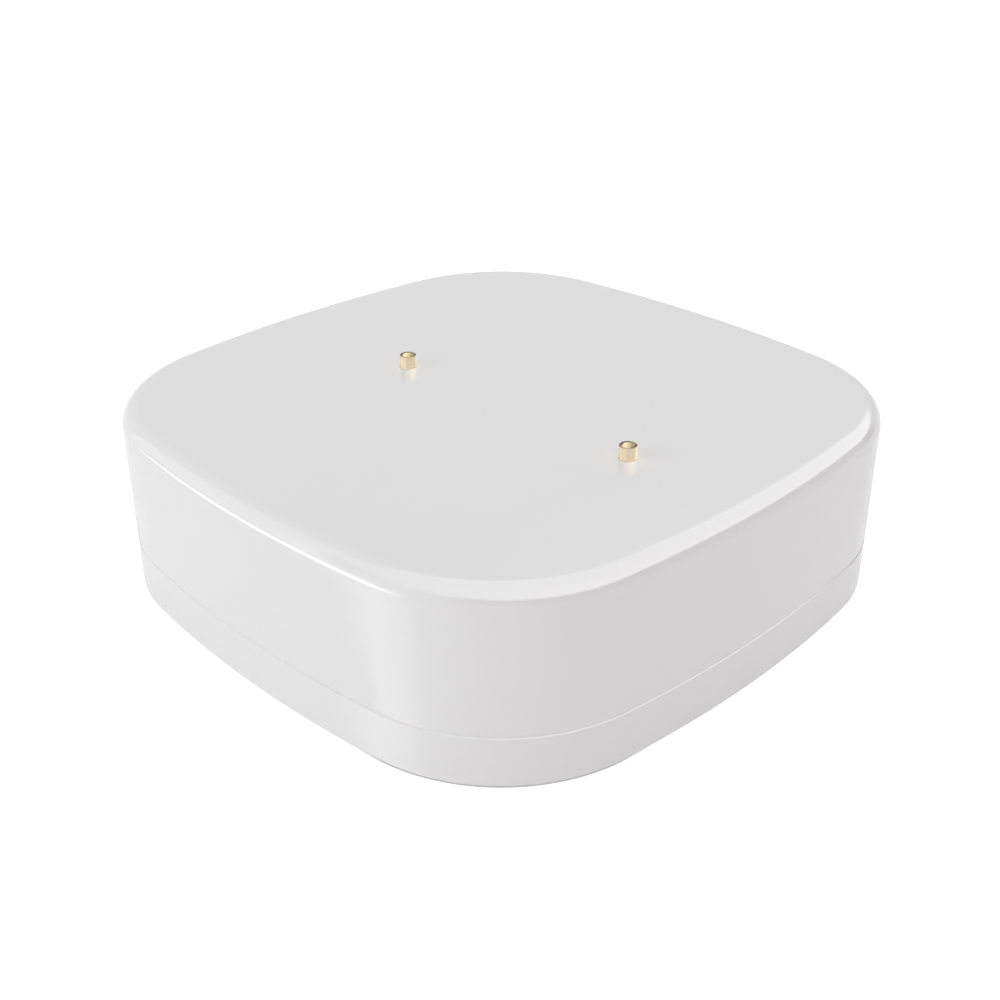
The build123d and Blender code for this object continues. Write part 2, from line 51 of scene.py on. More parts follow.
# Sizes of the shells that the frame's boxes don't give, as the CAD model has them
SIDE_RADIUS = 98.3 * MM
CORNER_RADIUS = 13.3 * MM
SKIRT_HEIGHT = 3.95 * MM
RIM_RADIUS = 1.35 * MM
FOOT_RADIUS = 0.3 * MM
SEAM_CHAMFER = 0.1 * MM
SEAM_LIP = 0.06 * MM
SEAM_LEAN = 0.3 * MM
HOUSING_WALL = 1.6 * MM
ROOF_THICKNESS = 1.6 * MM
INNER_RIM_EDGE = 0.7 * MM
FLOOR_THICKNESS = 1.4 * MM
SKIRT_WALL = 1.0 * MM
SPIGOT_GAP = 0.1 * MM
SPIGOT_WALL = 1.4 * MM
TONGUE_DEPTH = 1.3 * MM
TONGUE_GAP = 0.08 * MM
TONGUE_LEAD = 0.12 * MM
SEAL_CORD = 0.8 * MM
SEAL_GAP = 0.05 * MM
SEAL_EDGE = 0.18 * MM
RIB_THICKNESS = 0.8 * MM
RIB_HEIGHT = 0.8 * MM
RIB_SHARES = (-0.62, -0.31, 0.31, 0.62)
WEB_SHARES = (-0.72, -0.24, 0.24, 0.72)
GUARD_SHARE = 0.66
GUARD_GAP = 0.15 * MM
NOTCH_WIDTH = 7.5 * MM
NOTCH_HEIGHT = 0.8 * MM
NOTCH_DEPTH = 0.6 * MM
ROOF_RIB_DEPTH = 0.9 * MM
ROOF_RIB_THICKNESS = 0.8 * MM
ROOF_RIB_SHARE = 0.42
BOSS_RADIUS = 2.1 * MM
BOSS_SHARE = 0.633
GUSSET_LENGTH = 3.7 * MM
GUSSET_HEIGHT = 2.4 * MM
SCREW_RADIUS = 0.8 * MM
SCREW_HOLE_EXTRA = 0.5 * MM

# Probes, button, light pipe and cell, where they differ from their boxes
PROBE_RADIUS = 0.65 * MM
PROBE_DISH_RADIUS = 0.57 * MM
PROBE_DISH_DEPTH = 0.4 * MM
PROBE_EDGE = 0.05 * MM
PROBE_FLANGE = 0.7 * MM
PROBE_TAIL_RADIUS = 0.6 * MM
PROBE_BORE_GAP = 0.02 * MM
PROBE_BOSS_RADIUS = 2.7 * MM
PROBE_BOSS_HEIGHT = 1.4 * MM
PROBE_SEAL_ROOM = 0.95 * MM
BUTTON_RADIUS = 3.75 * MM
BUTTON_LIP = 0.8 * MM
BUTTON_GAP = 0.1 * MM
BUTTON_DISH = 0.12 * MM
BUTTON_DISH_RIM = 0.75 * MM
BUTTON_FLANGE = 0.6 * MM
BUTTON_STEM_RADIUS = 1.7 * MM
BUTTON_EDGE = 0.25 * MM
COLLAR_WALL = 0.8 * MM
PIPE_RADIUS = 0.85 * MM
PIPE_COLLAR = 0.6 * MM
CELL_EDGE = 0.5 * MM
HOLDER_BASE = 0.8 * MM
HOLDER_WALL = 1.2 * MM
HOLDER_MOUTH = 12.5 * MM
HOLDER_SLOT = (2.2 * MM, 3.9 * MM)
CONTACT_REACH = 5.0 * MM
RADIO_NOTCH_RADIUS = 0.3 * MM
RADIO_NOTCH_PITCH = 1.1 * MM
RADIO_NOTCH_COUNT = 10

# Small things that only the dressed model has
PLATING = 0.03 * MM
VIA_RADIUS = 0.28 * MM
VIA_HOLE = 0.13 * MM
VIA_PITCH = 2.2 * MM
VIA_INSET = 0.7 * MM
SCREW_PAD_WIDTH = 0.7 * MM
TEST_PAD_RADIUS = 0.5 * MM
TEST_PAD_SHARES = ((0.3, -0.78), (0.38, -0.78), (0.46, -0.78), (0.54, -0.78), (-0.3, 0.82), (-0.38, 0.82))
TERMINAL_LENGTH = 0.32 * MM
LEAD_WIDTH = 0.26 * MM
LEAD_LENGTH = 0.3 * MM
LEAD_PITCH = 0.5 * MM
SCREW_SLOT = (1.8 * MM, 0.45 * MM, 0.6 * MM)
SCREW_DOME_SHARE = 0.6
SCREW_TURN = math.pi / 8
TINY = 0.02 * MM
MERGE_DISTANCE = TINY / 20
SINK = 0.3 * MM
TRACK_PATCH = 2.4 * MM
TRACK_PITCH = 0.6 * MM
TRACK_EDGE = (0.2, 0.15)
BARE_SHARE = 0.4
RESHUFFLE = 7.0

# How finely the round stretches are divided
ARC_STEPS = 24
RIM_STEPS = 14
FOOT_STEPS = 4
TURN_STEPS = 96
SMALL_TURN_STEPS = 64
CELL_STEPS = 128
POST_STEPS = 48
BOSS_STEPS = 40
HOLE_STEPS = 32
PLATE_STEPS = 20
CORD_STEPS = 20
CONTACT_STEPS = 12
DISH_STEPS = 14
EDGE_STEPS = 4
CELL_EDGE_STEPS = 6
CAP_EDGE_STEPS = 5
CRADLE_EDGE_STEPS = 3
SHARP_ANGLE = math.radians(35)

# The photograph's camera, fitted to the outline: a 50 mm lens on a 36 mm square frame
CAMERA_PLACE = (69.0 * MM, -68.875 * MM, 58.0 * MM)
CAMERA_AIM = (-0.6230, 0.6204, -0.4764)
LENS = 50.0
SENSOR = 36.0

# Light and surroundings
WORLD_STRENGTH = 0.72
MIRRORED_STRENGTH = 0.06
FLOOR_LIFT = 0.34
FLOOR_REACH = 160.0
FLOOR_HOLE_INSET = 0.25 * MM
FLOOR_GLOW = 0.34
# Painted contact shadow: a darker ring of floor round the base, strongest at the front corner
CONTACT_INSET = 0.07 * MM
CONTACT_START = 6.4 * MM
CONTACT_FULL = 3.6 * MM
CONTACT_SHADOW = 0.55
FLOOR_TONE = (0.62, 0.62, 0.62, 1.0)
SHADOW_TONE = (0.1, 0.095, 0.095, 1.0)
EAST_TINT = (0.8, 0.73, 0.75, 1.0)
EAST_EDGE = (-0.5, -0.85)

# The floor's panel and strip are painted light: parts of the floor that glow only for mirrored rays
# A panel's edges name a direction, with its value where the panel is dark and where it is bright
FLOOR_PANEL_LEVEL = 0.7
FLOOR_PANEL = (
    ("bearing", math.radians(-90), math.radians(-106)),
    ("bearing", math.radians(-133), math.radians(-126)),
)
STRIP_LEVEL = 3.0
STRIP_EDGES = (
    ("X", -90 * MM, -75 * MM), ("X", 10 * MM, -5 * MM),
    ("Y", -48 * MM, -54 * MM), ("Y", -95 * MM, -85 * MM),
)
STRIP_REACH = (("Ray Length", 105 * MM, 90 * MM),)
# How the upper edges of the sky's panels lean to the right, and lift towards the back
PANEL_LEAN = 0.05
PANEL_LIFT = 0.15
LIFT_EDGE = (0.62, 1.0)
# The sky's panels: name, level, edges, edges along which it fades, and the panel that hides it
SKY_PANELS = (
    (
        "above", 4.2, (("high", 0.45, 0.51), ("east", -0.6, -0.54), ("back", 0.87, 0.8)),
        (("back", 3.0, -0.4), ("side", -1.8, 1.0)), None,
    ),
    ("behind", 0.75, (("back", 0.5, 0.7), ("rise", 0.65, 0.55)), (), "above"),
    ("beside", 0.75, (("east", -0.54, -0.6),), (("north", -0.26, -0.18),), "behind"),
    ("left", 1.35, (("east", -0.54, -0.6), ("north", -0.18, -0.26)), (), None),
    ("right", 0.6, (("east", 0.2, 0.4),), (("high", 0.51, 0.45),), None),
    ("front", 1.15, (("back", 0.0, -0.3),), (("high", 0.51, 0.45),), "right"),
)
SOFTBOXES = (
    ("left_light", (-0.25, -0.6, 0.28), (0.5, 0.35), 1.0),
    ("top_light", (-0.1, 0.2, 0.7), (0.6, 0.6), 0.9),
)


def centre_of(node):
    """The middle of a node's box."""
    low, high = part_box(node)
    return (low + high) / 2


def radius_of(node):
    """Half the width of a round node."""
    low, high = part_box(node)
    return (high.x - low.x) / 2


def heights(node):
    """The lowest and the highest Z of a node."""
    low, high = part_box(node)
    return low.z, high.z


housing_low, housing_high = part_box("probe_housing")
half_width = max(housing_high.x, housing_high.y)
body_top = housing_high.z
roof_under = body_top - ROOF_THICKNESS
spigot_inset = HOUSING_WALL + SPIGOT_GAP
spigot_inner = spigot_inset + SPIGOT_WALL
spigot_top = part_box("base_cover")[1].z
board_low, board_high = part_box("main_board")
button_place = centre_of("function_button")
light_place = centre_of("light_pipe")
cell_place = centre_of("cell_can")
probe_places = {side: centre_of(f"{side}_probe") for side in ("left", "right")}
boss_reach = BOSS_SHARE * half_width
boss_places = [Vector((x * boss_reach, y * boss_reach, 0.0)) for x in (-1, 1) for y in (-1, 1)]
origin = Vector((0.0, 0.0, 0.0))


# Plain meshes


def outline(inset=0.0):
    """Points of the body's outline, a square with bowed sides and round corners, moved inwards."""
    side_centre = SIDE_RADIUS - half_width
    reach = SIDE_RADIUS - CORNER_RADIUS
    corner_centre = (math.sqrt(2 * reach**2 - side_centre**2) - side_centre) / 2
    side_angle = math.atan2(corner_centre, side_centre + corner_centre)
    points = []
    for quarter in range(4):
        turn = Matrix.Rotation(quarter * math.pi / 2, 2)
        for step in range(ARC_STEPS):
            angle = side_angle * (2 * step / ARC_STEPS - 1)
            radius = SIDE_RADIUS - inset
            side = Vector((radius * math.cos(angle) - side_centre, radius * math.sin(angle)))
            points.append(turn @ side)
        for step in range(ARC_STEPS):
            angle = side_angle + (math.pi / 2 - 2 * side_angle) * step / ARC_STEPS
            radius = CORNER_RADIUS - inset
            corner = Vector((math.cos(angle), math.sin(angle))) * radius
            points.append(turn @ (corner + Vector((corner_centre, corner_centre))))
    return points


def new_mesh(name, points, edges=(), faces=()):
    """A mesh from its points, edges and faces."""
    mesh = bpy.data.meshes.new(name)
    mesh.from_pydata(points, edges, faces)
    return mesh


def add_object(name, data):
    """An object for a mesh, a lamp or a camera, in the scene."""
    obj = bpy.data.objects.new(name, data)
    bpy.context.scene.collection.objects.link(obj)
    return obj


def line_object(name, points, closed):
    """An object that holds only a line through points."""
    edges = [(number, number + 1) for number in range(len(points) - 1)]
    if closed:
        edges.append((len(points) - 1, 0))
    return add_object(name, new_mesh(name, points, edges))


def clean(obj):
    """Merges doubles, fills open rims and turns the faces outwards."""
    shape = bmesh.new()
    shape.from_mesh(obj.data)
    bmesh.ops.remove_doubles(shape, verts=shape.verts, dist=MERGE_DISTANCE)
    rims = [edge for edge in shape.edges if edge.is_boundary]
    bmesh.ops.holes_fill(shape, edges=rims, sides=0)
    bmesh.ops.recalc_face_normals(shape, faces=shape.faces)
    shape.to_mesh(obj.data)
    shape.free()
    return obj


def ring_faces(levels, count, closed=False):
    """Faces between rings of points, and from the last ring to the first when closed."""
    faces = []
    for level in range(levels if closed else levels - 1):
        base = level * count
        above = (level + 1) % levels * count
        for number in range(count):
            following = (number + 1) % count
            faces.append((base + number, base + following, above + following, above + number))
    return faces


def loft(name, rings, closed=False):
    """A skin through rings of points, with its ends filled, or joined to each other when closed."""
    points = [point for ring in rings for point in ring]
    faces = ring_faces(len(rings), len(rings[0]), closed)
    return clean(add_object(name, new_mesh(name, points, faces=faces)))


def lathe(name, profile, place, steps=TURN_STEPS, closed=False):
    """A solid turned about an upright axis, through pairs of radius and height."""
    rings = []
    for radius, height in profile:
        ring = []
        for step in range(steps):
            angle = 2 * math.pi * step / steps
            ring.append((place.x + radius * math.cos(angle), place.y + radius * math.sin(angle), height))
        rings.append(ring)
    return loft(name, rings, closed)


def block(name, low, high, turn=0.0):
    """A box between two corners, turned about Z."""
    spin = Matrix.Rotation(turn, 2)
    rings = []
    for height in (low[2], high[2]):
        corners = ((low[0], low[1]), (high[0], low[1]), (high[0], high[1]), (low[0], high[1]))
        rings.append([(*(spin @ Vector(corner)), height) for corner in corners])
    return loft(name, rings)


def post(name, place, radius, low, high, steps=POST_STEPS):
    """A round post at a place."""
    return lathe(name, [(radius, low), (radius, high)], place, steps)


def band_section(outer, inner, low, high):
    """The four corners of a ring's section."""
    return [(outer, low), (outer, high), (inner, high), (inner, low)]


def staircase(*sizes):
    """A profile of square steps, from sizes that are a radius and a height in turn."""
    pairs = zip(sizes, sizes[1:])
    return [pair if number % 2 == 0 else pair[::-1] for number, pair in enumerate(pairs)]


def stepped_bore(name, place, radii, heights, steps=SMALL_TURN_STEPS):
    """A round cutter with one step, from two radii and three heights."""
    low, middle, high = heights
    profile = [(radii[0], low), (radii[0], middle), (radii[1], middle), (radii[1], high)]
    return lathe(name, profile, place, steps)


def crossed_bars(length, middle, width, low, high):
    """A bar along X at a distance from the axis, and the same bar along Y."""
    near = (-length / 2, middle - width / 2, low)
    far = (length / 2, middle + width / 2, high)
    return [block("bar", near, far, turn) for turn in (0.0, math.pi / 2)]


def eased(obj, width, segments=2):
    """Rounds every edge of a small block."""
    shape = bmesh.new()
    shape.from_mesh(obj.data)
    bmesh.ops.bevel(shape, geom=shape.edges[:], offset=width, segments=segments, profile=0.5, affect="EDGES")
    shape.to_mesh(obj.data)
    shape.free()
    return obj


def quarter_arc(centre, radius, start, steps):
    """Pairs along a quarter circle that turns clockwise from the start angle."""
    pairs = []
    for step in range(steps + 1):
        angle = start - math.pi / 2 * step / steps
        pairs.append((centre[0] + radius * math.cos(angle), centre[1] + radius * math.sin(angle)))
    return pairs


def rounded(profile, radius, steps=EDGE_STEPS):
    """A profile whose inner corners are replaced by small curves."""
    result = [profile[0]]
    for before, corner, after in zip(profile, profile[1:], profile[2:]):
        here = Vector(corner)
        back = Vector(before) - here
        onward = Vector(after) - here
        cut = min(radius, back.length / 2, onward.length / 2)
        start = here + back.normalized() * cut
        end = here + onward.normalized() * cut
        for step in range(steps + 1):
            share = step / steps
            point = start * (1 - share) ** 2 + here * 2 * share * (1 - share) + end * share**2
            result.append(tuple(point))
    result.append(profile[-1])
    return result


def plain_mesh(obj):
    """Keeps what an object's modifiers make as its own mesh."""
    bpy.context.view_layer.update()
    depsgraph = bpy.context.evaluated_depsgraph_get()
    result = bpy.data.meshes.new_from_object(obj.evaluated_get(depsgraph))
    obj.modifiers.clear()
    obj.data = result
    return obj


def combine(target, tools, operation):
    """Joins the tools to the target, cuts them from it, or keeps what they share, and removes them."""
    group = bpy.data.collections.new("tools")
    bpy.context.scene.collection.children.link(group)
    for tool in tools:
        bpy.context.scene.collection.objects.unlink(tool)
        group.objects.link(tool)
    step = target.modifiers.new("combine", "BOOLEAN")
    step.operation = operation
    step.solver = "EXACT"
    step.operand_type = "COLLECTION"
    step.collection = group
    plain_mesh(target)
    for tool in tools:
        bpy.data.objects.remove(tool)
    bpy.data.collections.remove(group)
    return target


def shade(obj):
    """Smooth shading that keeps the sharper edges."""
    shape = bmesh.new()
    shape.from_mesh(obj.data)
    bmesh.ops.remove_doubles(shape, verts=shape.verts, dist=MERGE_DISTANCE)
    for face in shape.faces:
        face.smooth = True
        face.material_index = 0
    for edge in shape.edges:
        edge.smooth = len(edge.link_faces) == 2 and edge.calc_face_angle(math.pi) < SHARP_ANGLE
    shape.to_mesh(obj.data)
    shape.free()
    return obj


def solids_of(node):
    """The box of each separate solid of a node."""
    shape = bmesh.new()
    shape.from_mesh(frame["nodes"][node].data)
    bmesh.ops.remove_doubles(shape, verts=shape.verts, dist=MERGE_DISTANCE)
    left = set(shape.verts)
    boxes = []
    while left:
        found = {left.pop()}
        waiting = list(found)
        while waiting:
            vertex = waiting.pop()
            for edge in vertex.link_edges:
                other = edge.other_vert(vertex)
                if other in left:
                    left.discard(other)
                    found.add(other)
                    waiting.append(other)
        low = Vector([min(vertex.co[axis] for vertex in found) for axis in range(3)])
        high = Vector([max(vertex.co[axis] for vertex in found) for axis in range(3)])
        boxes.append((low, high))
    shape.free()
    return sorted(boxes, key=lambda corners: tuple(corners[0]))


# Nodes


def feed(tree, value, socket):
    """Sets a socket to a plain value, or links another socket to it."""
    if isinstance(value, bpy.types.NodeSocket):
        tree.links.new(value, socket)
    else:
        socket.default_value = value


def feed_all(tree, node, **inputs):
    """Feeds a node's inputs, each by its name."""
    for name, value in inputs.items():
        feed(tree, value, node.inputs[name.replace("_", " ")])
    return node


def wire(tree, kind, output, settings=None, **inputs):
    """The output of a new node, which has its settings and inputs."""
    node = tree.nodes.new(kind)
    for name, value in (settings or {}).items():
        setattr(node, name, value)
    return feed_all(tree, node, **inputs).outputs[output]


# Geometry Nodes trees


def new_tree(name, **inputs):
    """A Geometry Nodes tree and what it is given: geometry, named inputs and a material."""
    tree = bpy.data.node_groups.new(name, "GeometryNodeTree")
    for socket, kind in {"Geometry": "Geometry", **inputs, "Material": "Material"}.items():
        label = socket.replace("_", " ")
        tree.interface.new_socket(label, in_out="INPUT", socket_type=f"NodeSocket{kind}")
    tree.interface.new_socket("Geometry", in_out="OUTPUT", socket_type="NodeSocketGeometry")
    return tree, tree.nodes.new("NodeGroupInput").outputs


def end_tree(tree, given, geometry):
    """Makes instances real and gives them the material, as the last steps of a tree."""
    real = wire(tree, "GeometryNodeRealizeInstances", "Geometry", Geometry=geometry)
    painted = wire(tree, "GeometryNodeSetMaterial", "Geometry", Geometry=real, Material=given["Material"])
    feed_all(tree, tree.nodes.new("NodeGroupOutput"), Geometry=painted)
    return tree


def swept_wall_tree():
    """Sweeps the object's own line, its section, along the line of another object."""
    tree, given = new_tree("swept_wall", Path="Object")
    path = wire(tree, "GeometryNodeObjectInfo", "Geometry", Object=given["Path"])
    curve = wire(tree, "GeometryNodeMeshToCurve", "Curve", Mesh=path)
    upright = wire(tree, "GeometryNodeSetCurveNormal", "Curve", {"mode": "Z_UP"}, Curve=curve)
    section = wire(tree, "GeometryNodeMeshToCurve", "Curve", Mesh=given["Geometry"])
    wall = wire(tree, "GeometryNodeCurveToMesh", "Mesh", Curve=upright, Profile_Curve=section)
    return end_tree(tree, given, wall)


def sealing_ring_tree():
    """A ring of round cord at a place."""
    tree, given = new_tree("sealing_ring", Ring_Radius="Float", Cord_Radius="Float", Place="Vector")
    circles = []
    for radius, steps in (("Ring Radius", SMALL_TURN_STEPS), ("Cord Radius", CORD_STEPS)):
        circle = wire(
            tree, "GeometryNodeCurvePrimitiveCircle", "Curve", Resolution=steps, Radius=given[radius]
        )
        circles.append(circle)
    sweep = wire(tree, "GeometryNodeCurveToMesh", "Mesh", Curve=circles[0], Profile_Curve=circles[1])
    moved = wire(tree, "GeometryNodeTransform", "Geometry", Geometry=sweep, Translation=given["Place"])
    return end_tree(tree, given, moved)


def end_with_copies(tree, given, points, **turned):
    """Ends a tree with a copy of another object at each point."""
    copy = wire(tree, "GeometryNodeObjectInfo", "Geometry", Object=given["Copy"])
    kind = "GeometryNodeInstanceOnPoints"
    return end_tree(tree, given, wire(tree, kind, "Instances", Points=points, Instance=copy, **turned))


def placed_copies_tree():
    """Puts a copy of another object at each point, turned about Z by the point's own turn."""
    tree, given = new_tree("placed_copies", Copy="Object")
    turn = wire(tree, "GeometryNodeInputNamedAttribute", "Attribute", {"data_type": "FLOAT"}, Name="turn")
    spin = wire(tree, "ShaderNodeCombineXYZ", "Vector", Z=turn)
    return end_with_copies(tree, given, given["Geometry"], Rotation=spin)


def copies_along_tree():
    """Puts copies of another object along the object's own line, at an even pitch."""
    tree, given = new_tree("copies_along", Copy="Object", Pitch="Float")
    line = wire(tree, "GeometryNodeMeshToCurve", "Curve", Mesh=given["Geometry"])
    sizes = {"Curve": line, "Length": given["Pitch"]}
    spread = wire(tree, "GeometryNodeResampleCurve", "Curve", {"mode": "LENGTH"}, **sizes)
    return end_with_copies(tree, given, spread)


def run_tree(obj, tree, **values):
    """Runs a tree on an object and keeps the result as its plain mesh."""
    step = obj.modifiers.new("tree", "NODES")
    step.node_group = tree
    sockets = {item.name: item.identifier for item in tree.interface.items_tree if item.in_out == "INPUT"}
    for name, value in values.items():
        step[sockets[name.replace("_", " ")]] = value
    return plain_mesh(obj)


swept_wall = swept_wall_tree()
sealing_ring = sealing_ring_tree()
placed_copies = placed_copies_tree()
copies_along = copies_along_tree()


def outline_sweep(name, profile, slot, closed=False):
    """A wall along the body's outline, through pairs of inset and height."""
    path = line_object("path", [(x, y, 0.0) for x, y in outline()], True)
    section = line_object(name, [(-inset, -height, 0.0) for inset, height in profile], closed)
    run_tree(section, swept_wall, Path=path, Material=materials[slot])
    bpy.data.objects.remove(path)
    return clean(section)


def copies(name, source, places, slot, *nodes):
    """A piece of the housing: a small object copied to places, each a point and a turn, and removed."""
    mesh = new_mesh(name, [point for point, turn in places])
    turns = mesh.attributes.new("turn", "FLOAT", "POINT")
    for number, (point, turn) in enumerate(places):
        turns.data[number].value = turn
    obj = run_tree(add_object(name, mesh), placed_copies, Copy=source, Material=materials[slot])
    bpy.data.objects.remove(source)
    return finish_piece(obj, slot, "housing", *nodes)


# Shared shader groups

# Noise of each pattern, with its scale per metre, and the values between which a pattern comes up
DRIFT_NOISE = {"scale": 55.0, "detail": 4.0}
SMEAR_NOISE = {"scale": 190.0, "detail": 5.0, "roughness": 0.65}
WAVE_NOISE = {"scale": 260.0, "detail": 1.0}
CHIP_NOISE = {"scale": 1100.0, "detail": 4.0}
PATCH_NOISE = {"scale": 900.0, "detail": 5.0, "roughness": 0.6}
DRIFT_EDGE = (0.35, 0.7)
CHIP_EDGE = (0.35, 0.6)
PATCH_EDGE = (0.45, 0.75)
BEND_EDGE = (0.995, 0.85)
WAVE_SHARE = 0.6
PATCH_DULLNESS = 0.12


def new_group(name, outputs, **inputs):
    """An empty shader group with named inputs, each with its value, and named outputs."""
    tree = bpy.data.node_groups.new(name, "ShaderNodeTree")
    for socket, value in inputs.items():
        kind = "NodeSocketFloat" if isinstance(value, float) else "NodeSocketColor"
        made = tree.interface.new_socket(socket.replace("_", " "), in_out="INPUT", socket_type=kind)
        made.default_value = value
    for socket in outputs:
        kind = "NodeSocketColor" if socket == "Colour" else "NodeSocketFloat"
        tree.interface.new_socket(socket, in_out="OUTPUT", socket_type=kind)
    return tree, tree.nodes.new("NodeGroupInput").outputs, tree.nodes.new("NodeGroupOutput")


def calculate(tree, operation, first, *others):
    """Math nodes that take sockets or plain numbers from the left to the right."""
    for second in others or (0.0,):
        node = tree.nodes.new("ShaderNodeMath")
        node.operation = operation
        feed(tree, first, node.inputs[0])
        feed(tree, second, node.inputs[1])
        first = node.outputs[0]
    return first


def product(tree, *values):
    """Values multiplied by each other."""
    return calculate(tree, "MULTIPLY", *values)


def total(tree, *values):
    """Values added up."""
    return calculate(tree, "ADD", *values)


def outside(tree, mask):
    """What a mask leaves out."""
    return calculate(tree, "SUBTRACT", 1.0, mask)


def noise(tree, coordinate, scale, detail, roughness=0.5):
    """A noise texture on a coordinate."""
    sizes = {"Scale": scale, "Detail": detail, "Roughness": roughness}
    return wire(tree, "ShaderNodeTexNoise", "Fac", Vector=coordinate, **sizes)


def remap(tree, value, low, high, to_low=0.0, to_high=1.0):
    """A value mapped from one range to another, held at the ends."""
    ends = {"From_Min": low, "From_Max": high, "To_Min": to_low, "To_Max": to_high}
    return wire(tree, "ShaderNodeMapRange", "Result", Value=value, **ends)


def within(tree, values, edges):
    """A mask for each edge: the name of a value, where the mask is 0 and where it is 1."""
    return [remap(tree, values[name], dark, bright) for name, dark, bright in edges]


def blend_colours(tree, factor, first, second):
    """A mix of two colours."""
    return wire(tree, "ShaderNodeMix", "Result", {"data_type": "RGBA"}, Factor=factor, A=first, B=second)


def split(tree, vector):
    """The three parts of a vector."""
    node = tree.nodes.new("ShaderNodeSeparateXYZ")
    return feed_all(tree, node, Vector=vector).outputs


def outputs_of(tree, kind):
    """The outputs of a node that takes no inputs here."""
    return tree.nodes.new(f"ShaderNode{kind}").outputs


def object_place(tree):
    """The place on the piece, which is the same in every view."""
    return outputs_of(tree, "TexCoord")["Object"]


def colour(red, green, blue):
    """A colour with full opacity."""
    return (red, green, blue, 1.0)


def moulded_surface_group():
    """Moulded plastic: a drift of tone and gloss, and the fine skin that the mould leaves."""
    tree, given, leave = new_group(
        "moulded_surface", ("Colour", "Roughness", "Height"),
        Colour=colour(0.8, 0.8, 0.8), Shade=colour(0.7, 0.7, 0.7), Drift=0.5, Gloss=0.25, Gloss_Drift=0.05,
        Grain=3000.0,
    )
    place = object_place(tree)
    drift = remap(tree, noise(tree, place, **DRIFT_NOISE), *DRIFT_EDGE)
    tone = blend_colours(tree, product(tree, drift, given["Drift"]), given["Colour"], given["Shade"])
    smear = calculate(tree, "SUBTRACT", noise(tree, place, **SMEAR_NOISE), 0.5)
    gloss = total(tree, given["Gloss"], product(tree, smear, given["Gloss Drift"]))
    wave = product(tree, noise(tree, place, **WAVE_NOISE), WAVE_SHARE)
    height = total(tree, noise(tree, place, given["Grain"], detail=2.0), wave)
    feed_all(tree, leave, Colour=tone, Roughness=gloss, Height=height)
    return tree


def edge_wear_group():
    """A mask that is 1 along the edges of a piece, broken up by noise."""
    tree, given, leave = new_group("edge_wear", ("Mask",), Width=0.25 * MM, Amount=0.5)
    softened = wire(tree, "ShaderNodeBevel", "Normal", {"samples": 4}, Radius=given["Width"])
    alike = tree.nodes.new("ShaderNodeVectorMath")
    alike.operation = "DOT_PRODUCT"
    feed(tree, softened, alike.inputs[0])
    feed(tree, outputs_of(tree, "NewGeometry")["Normal"], alike.inputs[1])
    edge = remap(tree, alike.outputs["Value"], *BEND_EDGE)
    broken = remap(tree, noise(tree, object_place(tree), **CHIP_NOISE), *CHIP_EDGE)
    feed_all(tree, leave, Mask=product(tree, edge, broken, given["Amount"]))
    return tree


def turned_metal_group():
    """Metal finished on a lathe: fine rings and dulled patches."""
    tree, given, leave = new_group(
        "turned_metal", ("Colour", "Roughness", "Height"),
        Colour=colour(0.8, 0.8, 0.8), Dull=colour(0.6, 0.6, 0.6), Gloss=0.15, Rings=60000.0,
    )
    place = object_place(tree)
    patches = remap(tree, noise(tree, place, **PATCH_NOISE), *PATCH_EDGE)
    tone = blend_colours(tree, patches, given["Colour"], given["Dull"])
    gloss = total(tree, given["Gloss"], product(tree, patches, PATCH_DULLNESS))
    rings = calculate(tree, "SINE", product(tree, split(tree, place)["Z"], given["Rings"]))
    feed_all(tree, leave, Colour=tone, Roughness=gloss, Height=rings)
    return tree


def studio_group():
    """What polished faces see, by direction: the panels of the sky, and one on the floor."""
    tree, _, leave = new_group("studio", ("Sky", "Floor"))
    towards = split(tree, outputs_of(tree, "NewGeometry")["Incoming"])
    east, north, rise = (product(tree, part, -1.0) for part in towards)
    back = product(tree, calculate(tree, "SUBTRACT", north, east), math.sqrt(0.5))
    side = product(tree, total(tree, north, east), math.sqrt(0.5))
    lift = remap(tree, north, *LIFT_EDGE, 0.0, PANEL_LIFT)
    high = total(tree, rise, product(tree, side, PANEL_LEAN), lift)
    axes = {"east": east, "north": north, "rise": rise, "back": back, "side": side, "high": high}
    axes["bearing"] = calculate(tree, "ARCTAN2", north, east)
    sky = MIRRORED_STRENGTH
    masks = {}
    for name, level, edges, fading, hidden_by in SKY_PANELS:
        seen = within(tree, axes, edges)
        if hidden_by:
            seen.append(outside(tree, masks[hidden_by]))
        masks[name] = product(tree, 1.0, *seen)
        sky = total(tree, product(tree, masks[name], level, *within(tree, axes, fading)), sky)
    floor = product(tree, FLOOR_PANEL_LEVEL, *within(tree, axes, FLOOR_PANEL))
    feed_all(tree, leave, Sky=sky, Floor=floor)
    return tree


studio = studio_group()
moulded_surface = moulded_surface_group()
edge_wear = edge_wear_group()
turned_metal = turned_metal_group()


# Materials

PLASTIC_INDEX = 1.49
EDGE_GAIN = 1.08
EDGE_LIFT = 0.01
EDGE_POLISH = -0.08
METAL_EDGE = {"Width": 0.08 * MM, "Amount": 0.4}
# Painted shade: the darker tone laid on the sloping walls of the probes' dishes
PAINTED_DISH_SHADE = (0.3, 0.25, 0.16, 1.0)
DISH_REACH = 1.2
DISH_FACING = (0.1, 0.3)
# Painted reflection: the plating's darker tone in mirrored rays, which keeps its reflections faint
PAINTED_REFLECTION_TONE = (0.45, 0.38, 0.27, 1.0)
TRACK_TONE = (0.03, 0.17, 0.08, 1.0)


def new_material(name):
    """A material with its node tree and its main shader."""
    made = bpy.data.materials.new(name)
    made.use_nodes = True
    return made, made.node_tree, made.node_tree.nodes["Principled BSDF"]


def use_group(tree, group, **values):
    """A shared group placed in a material, with its own values."""
    node = tree.nodes.new("ShaderNodeGroup")
    node.node_tree = group
    return feed_all(tree, node, **values)


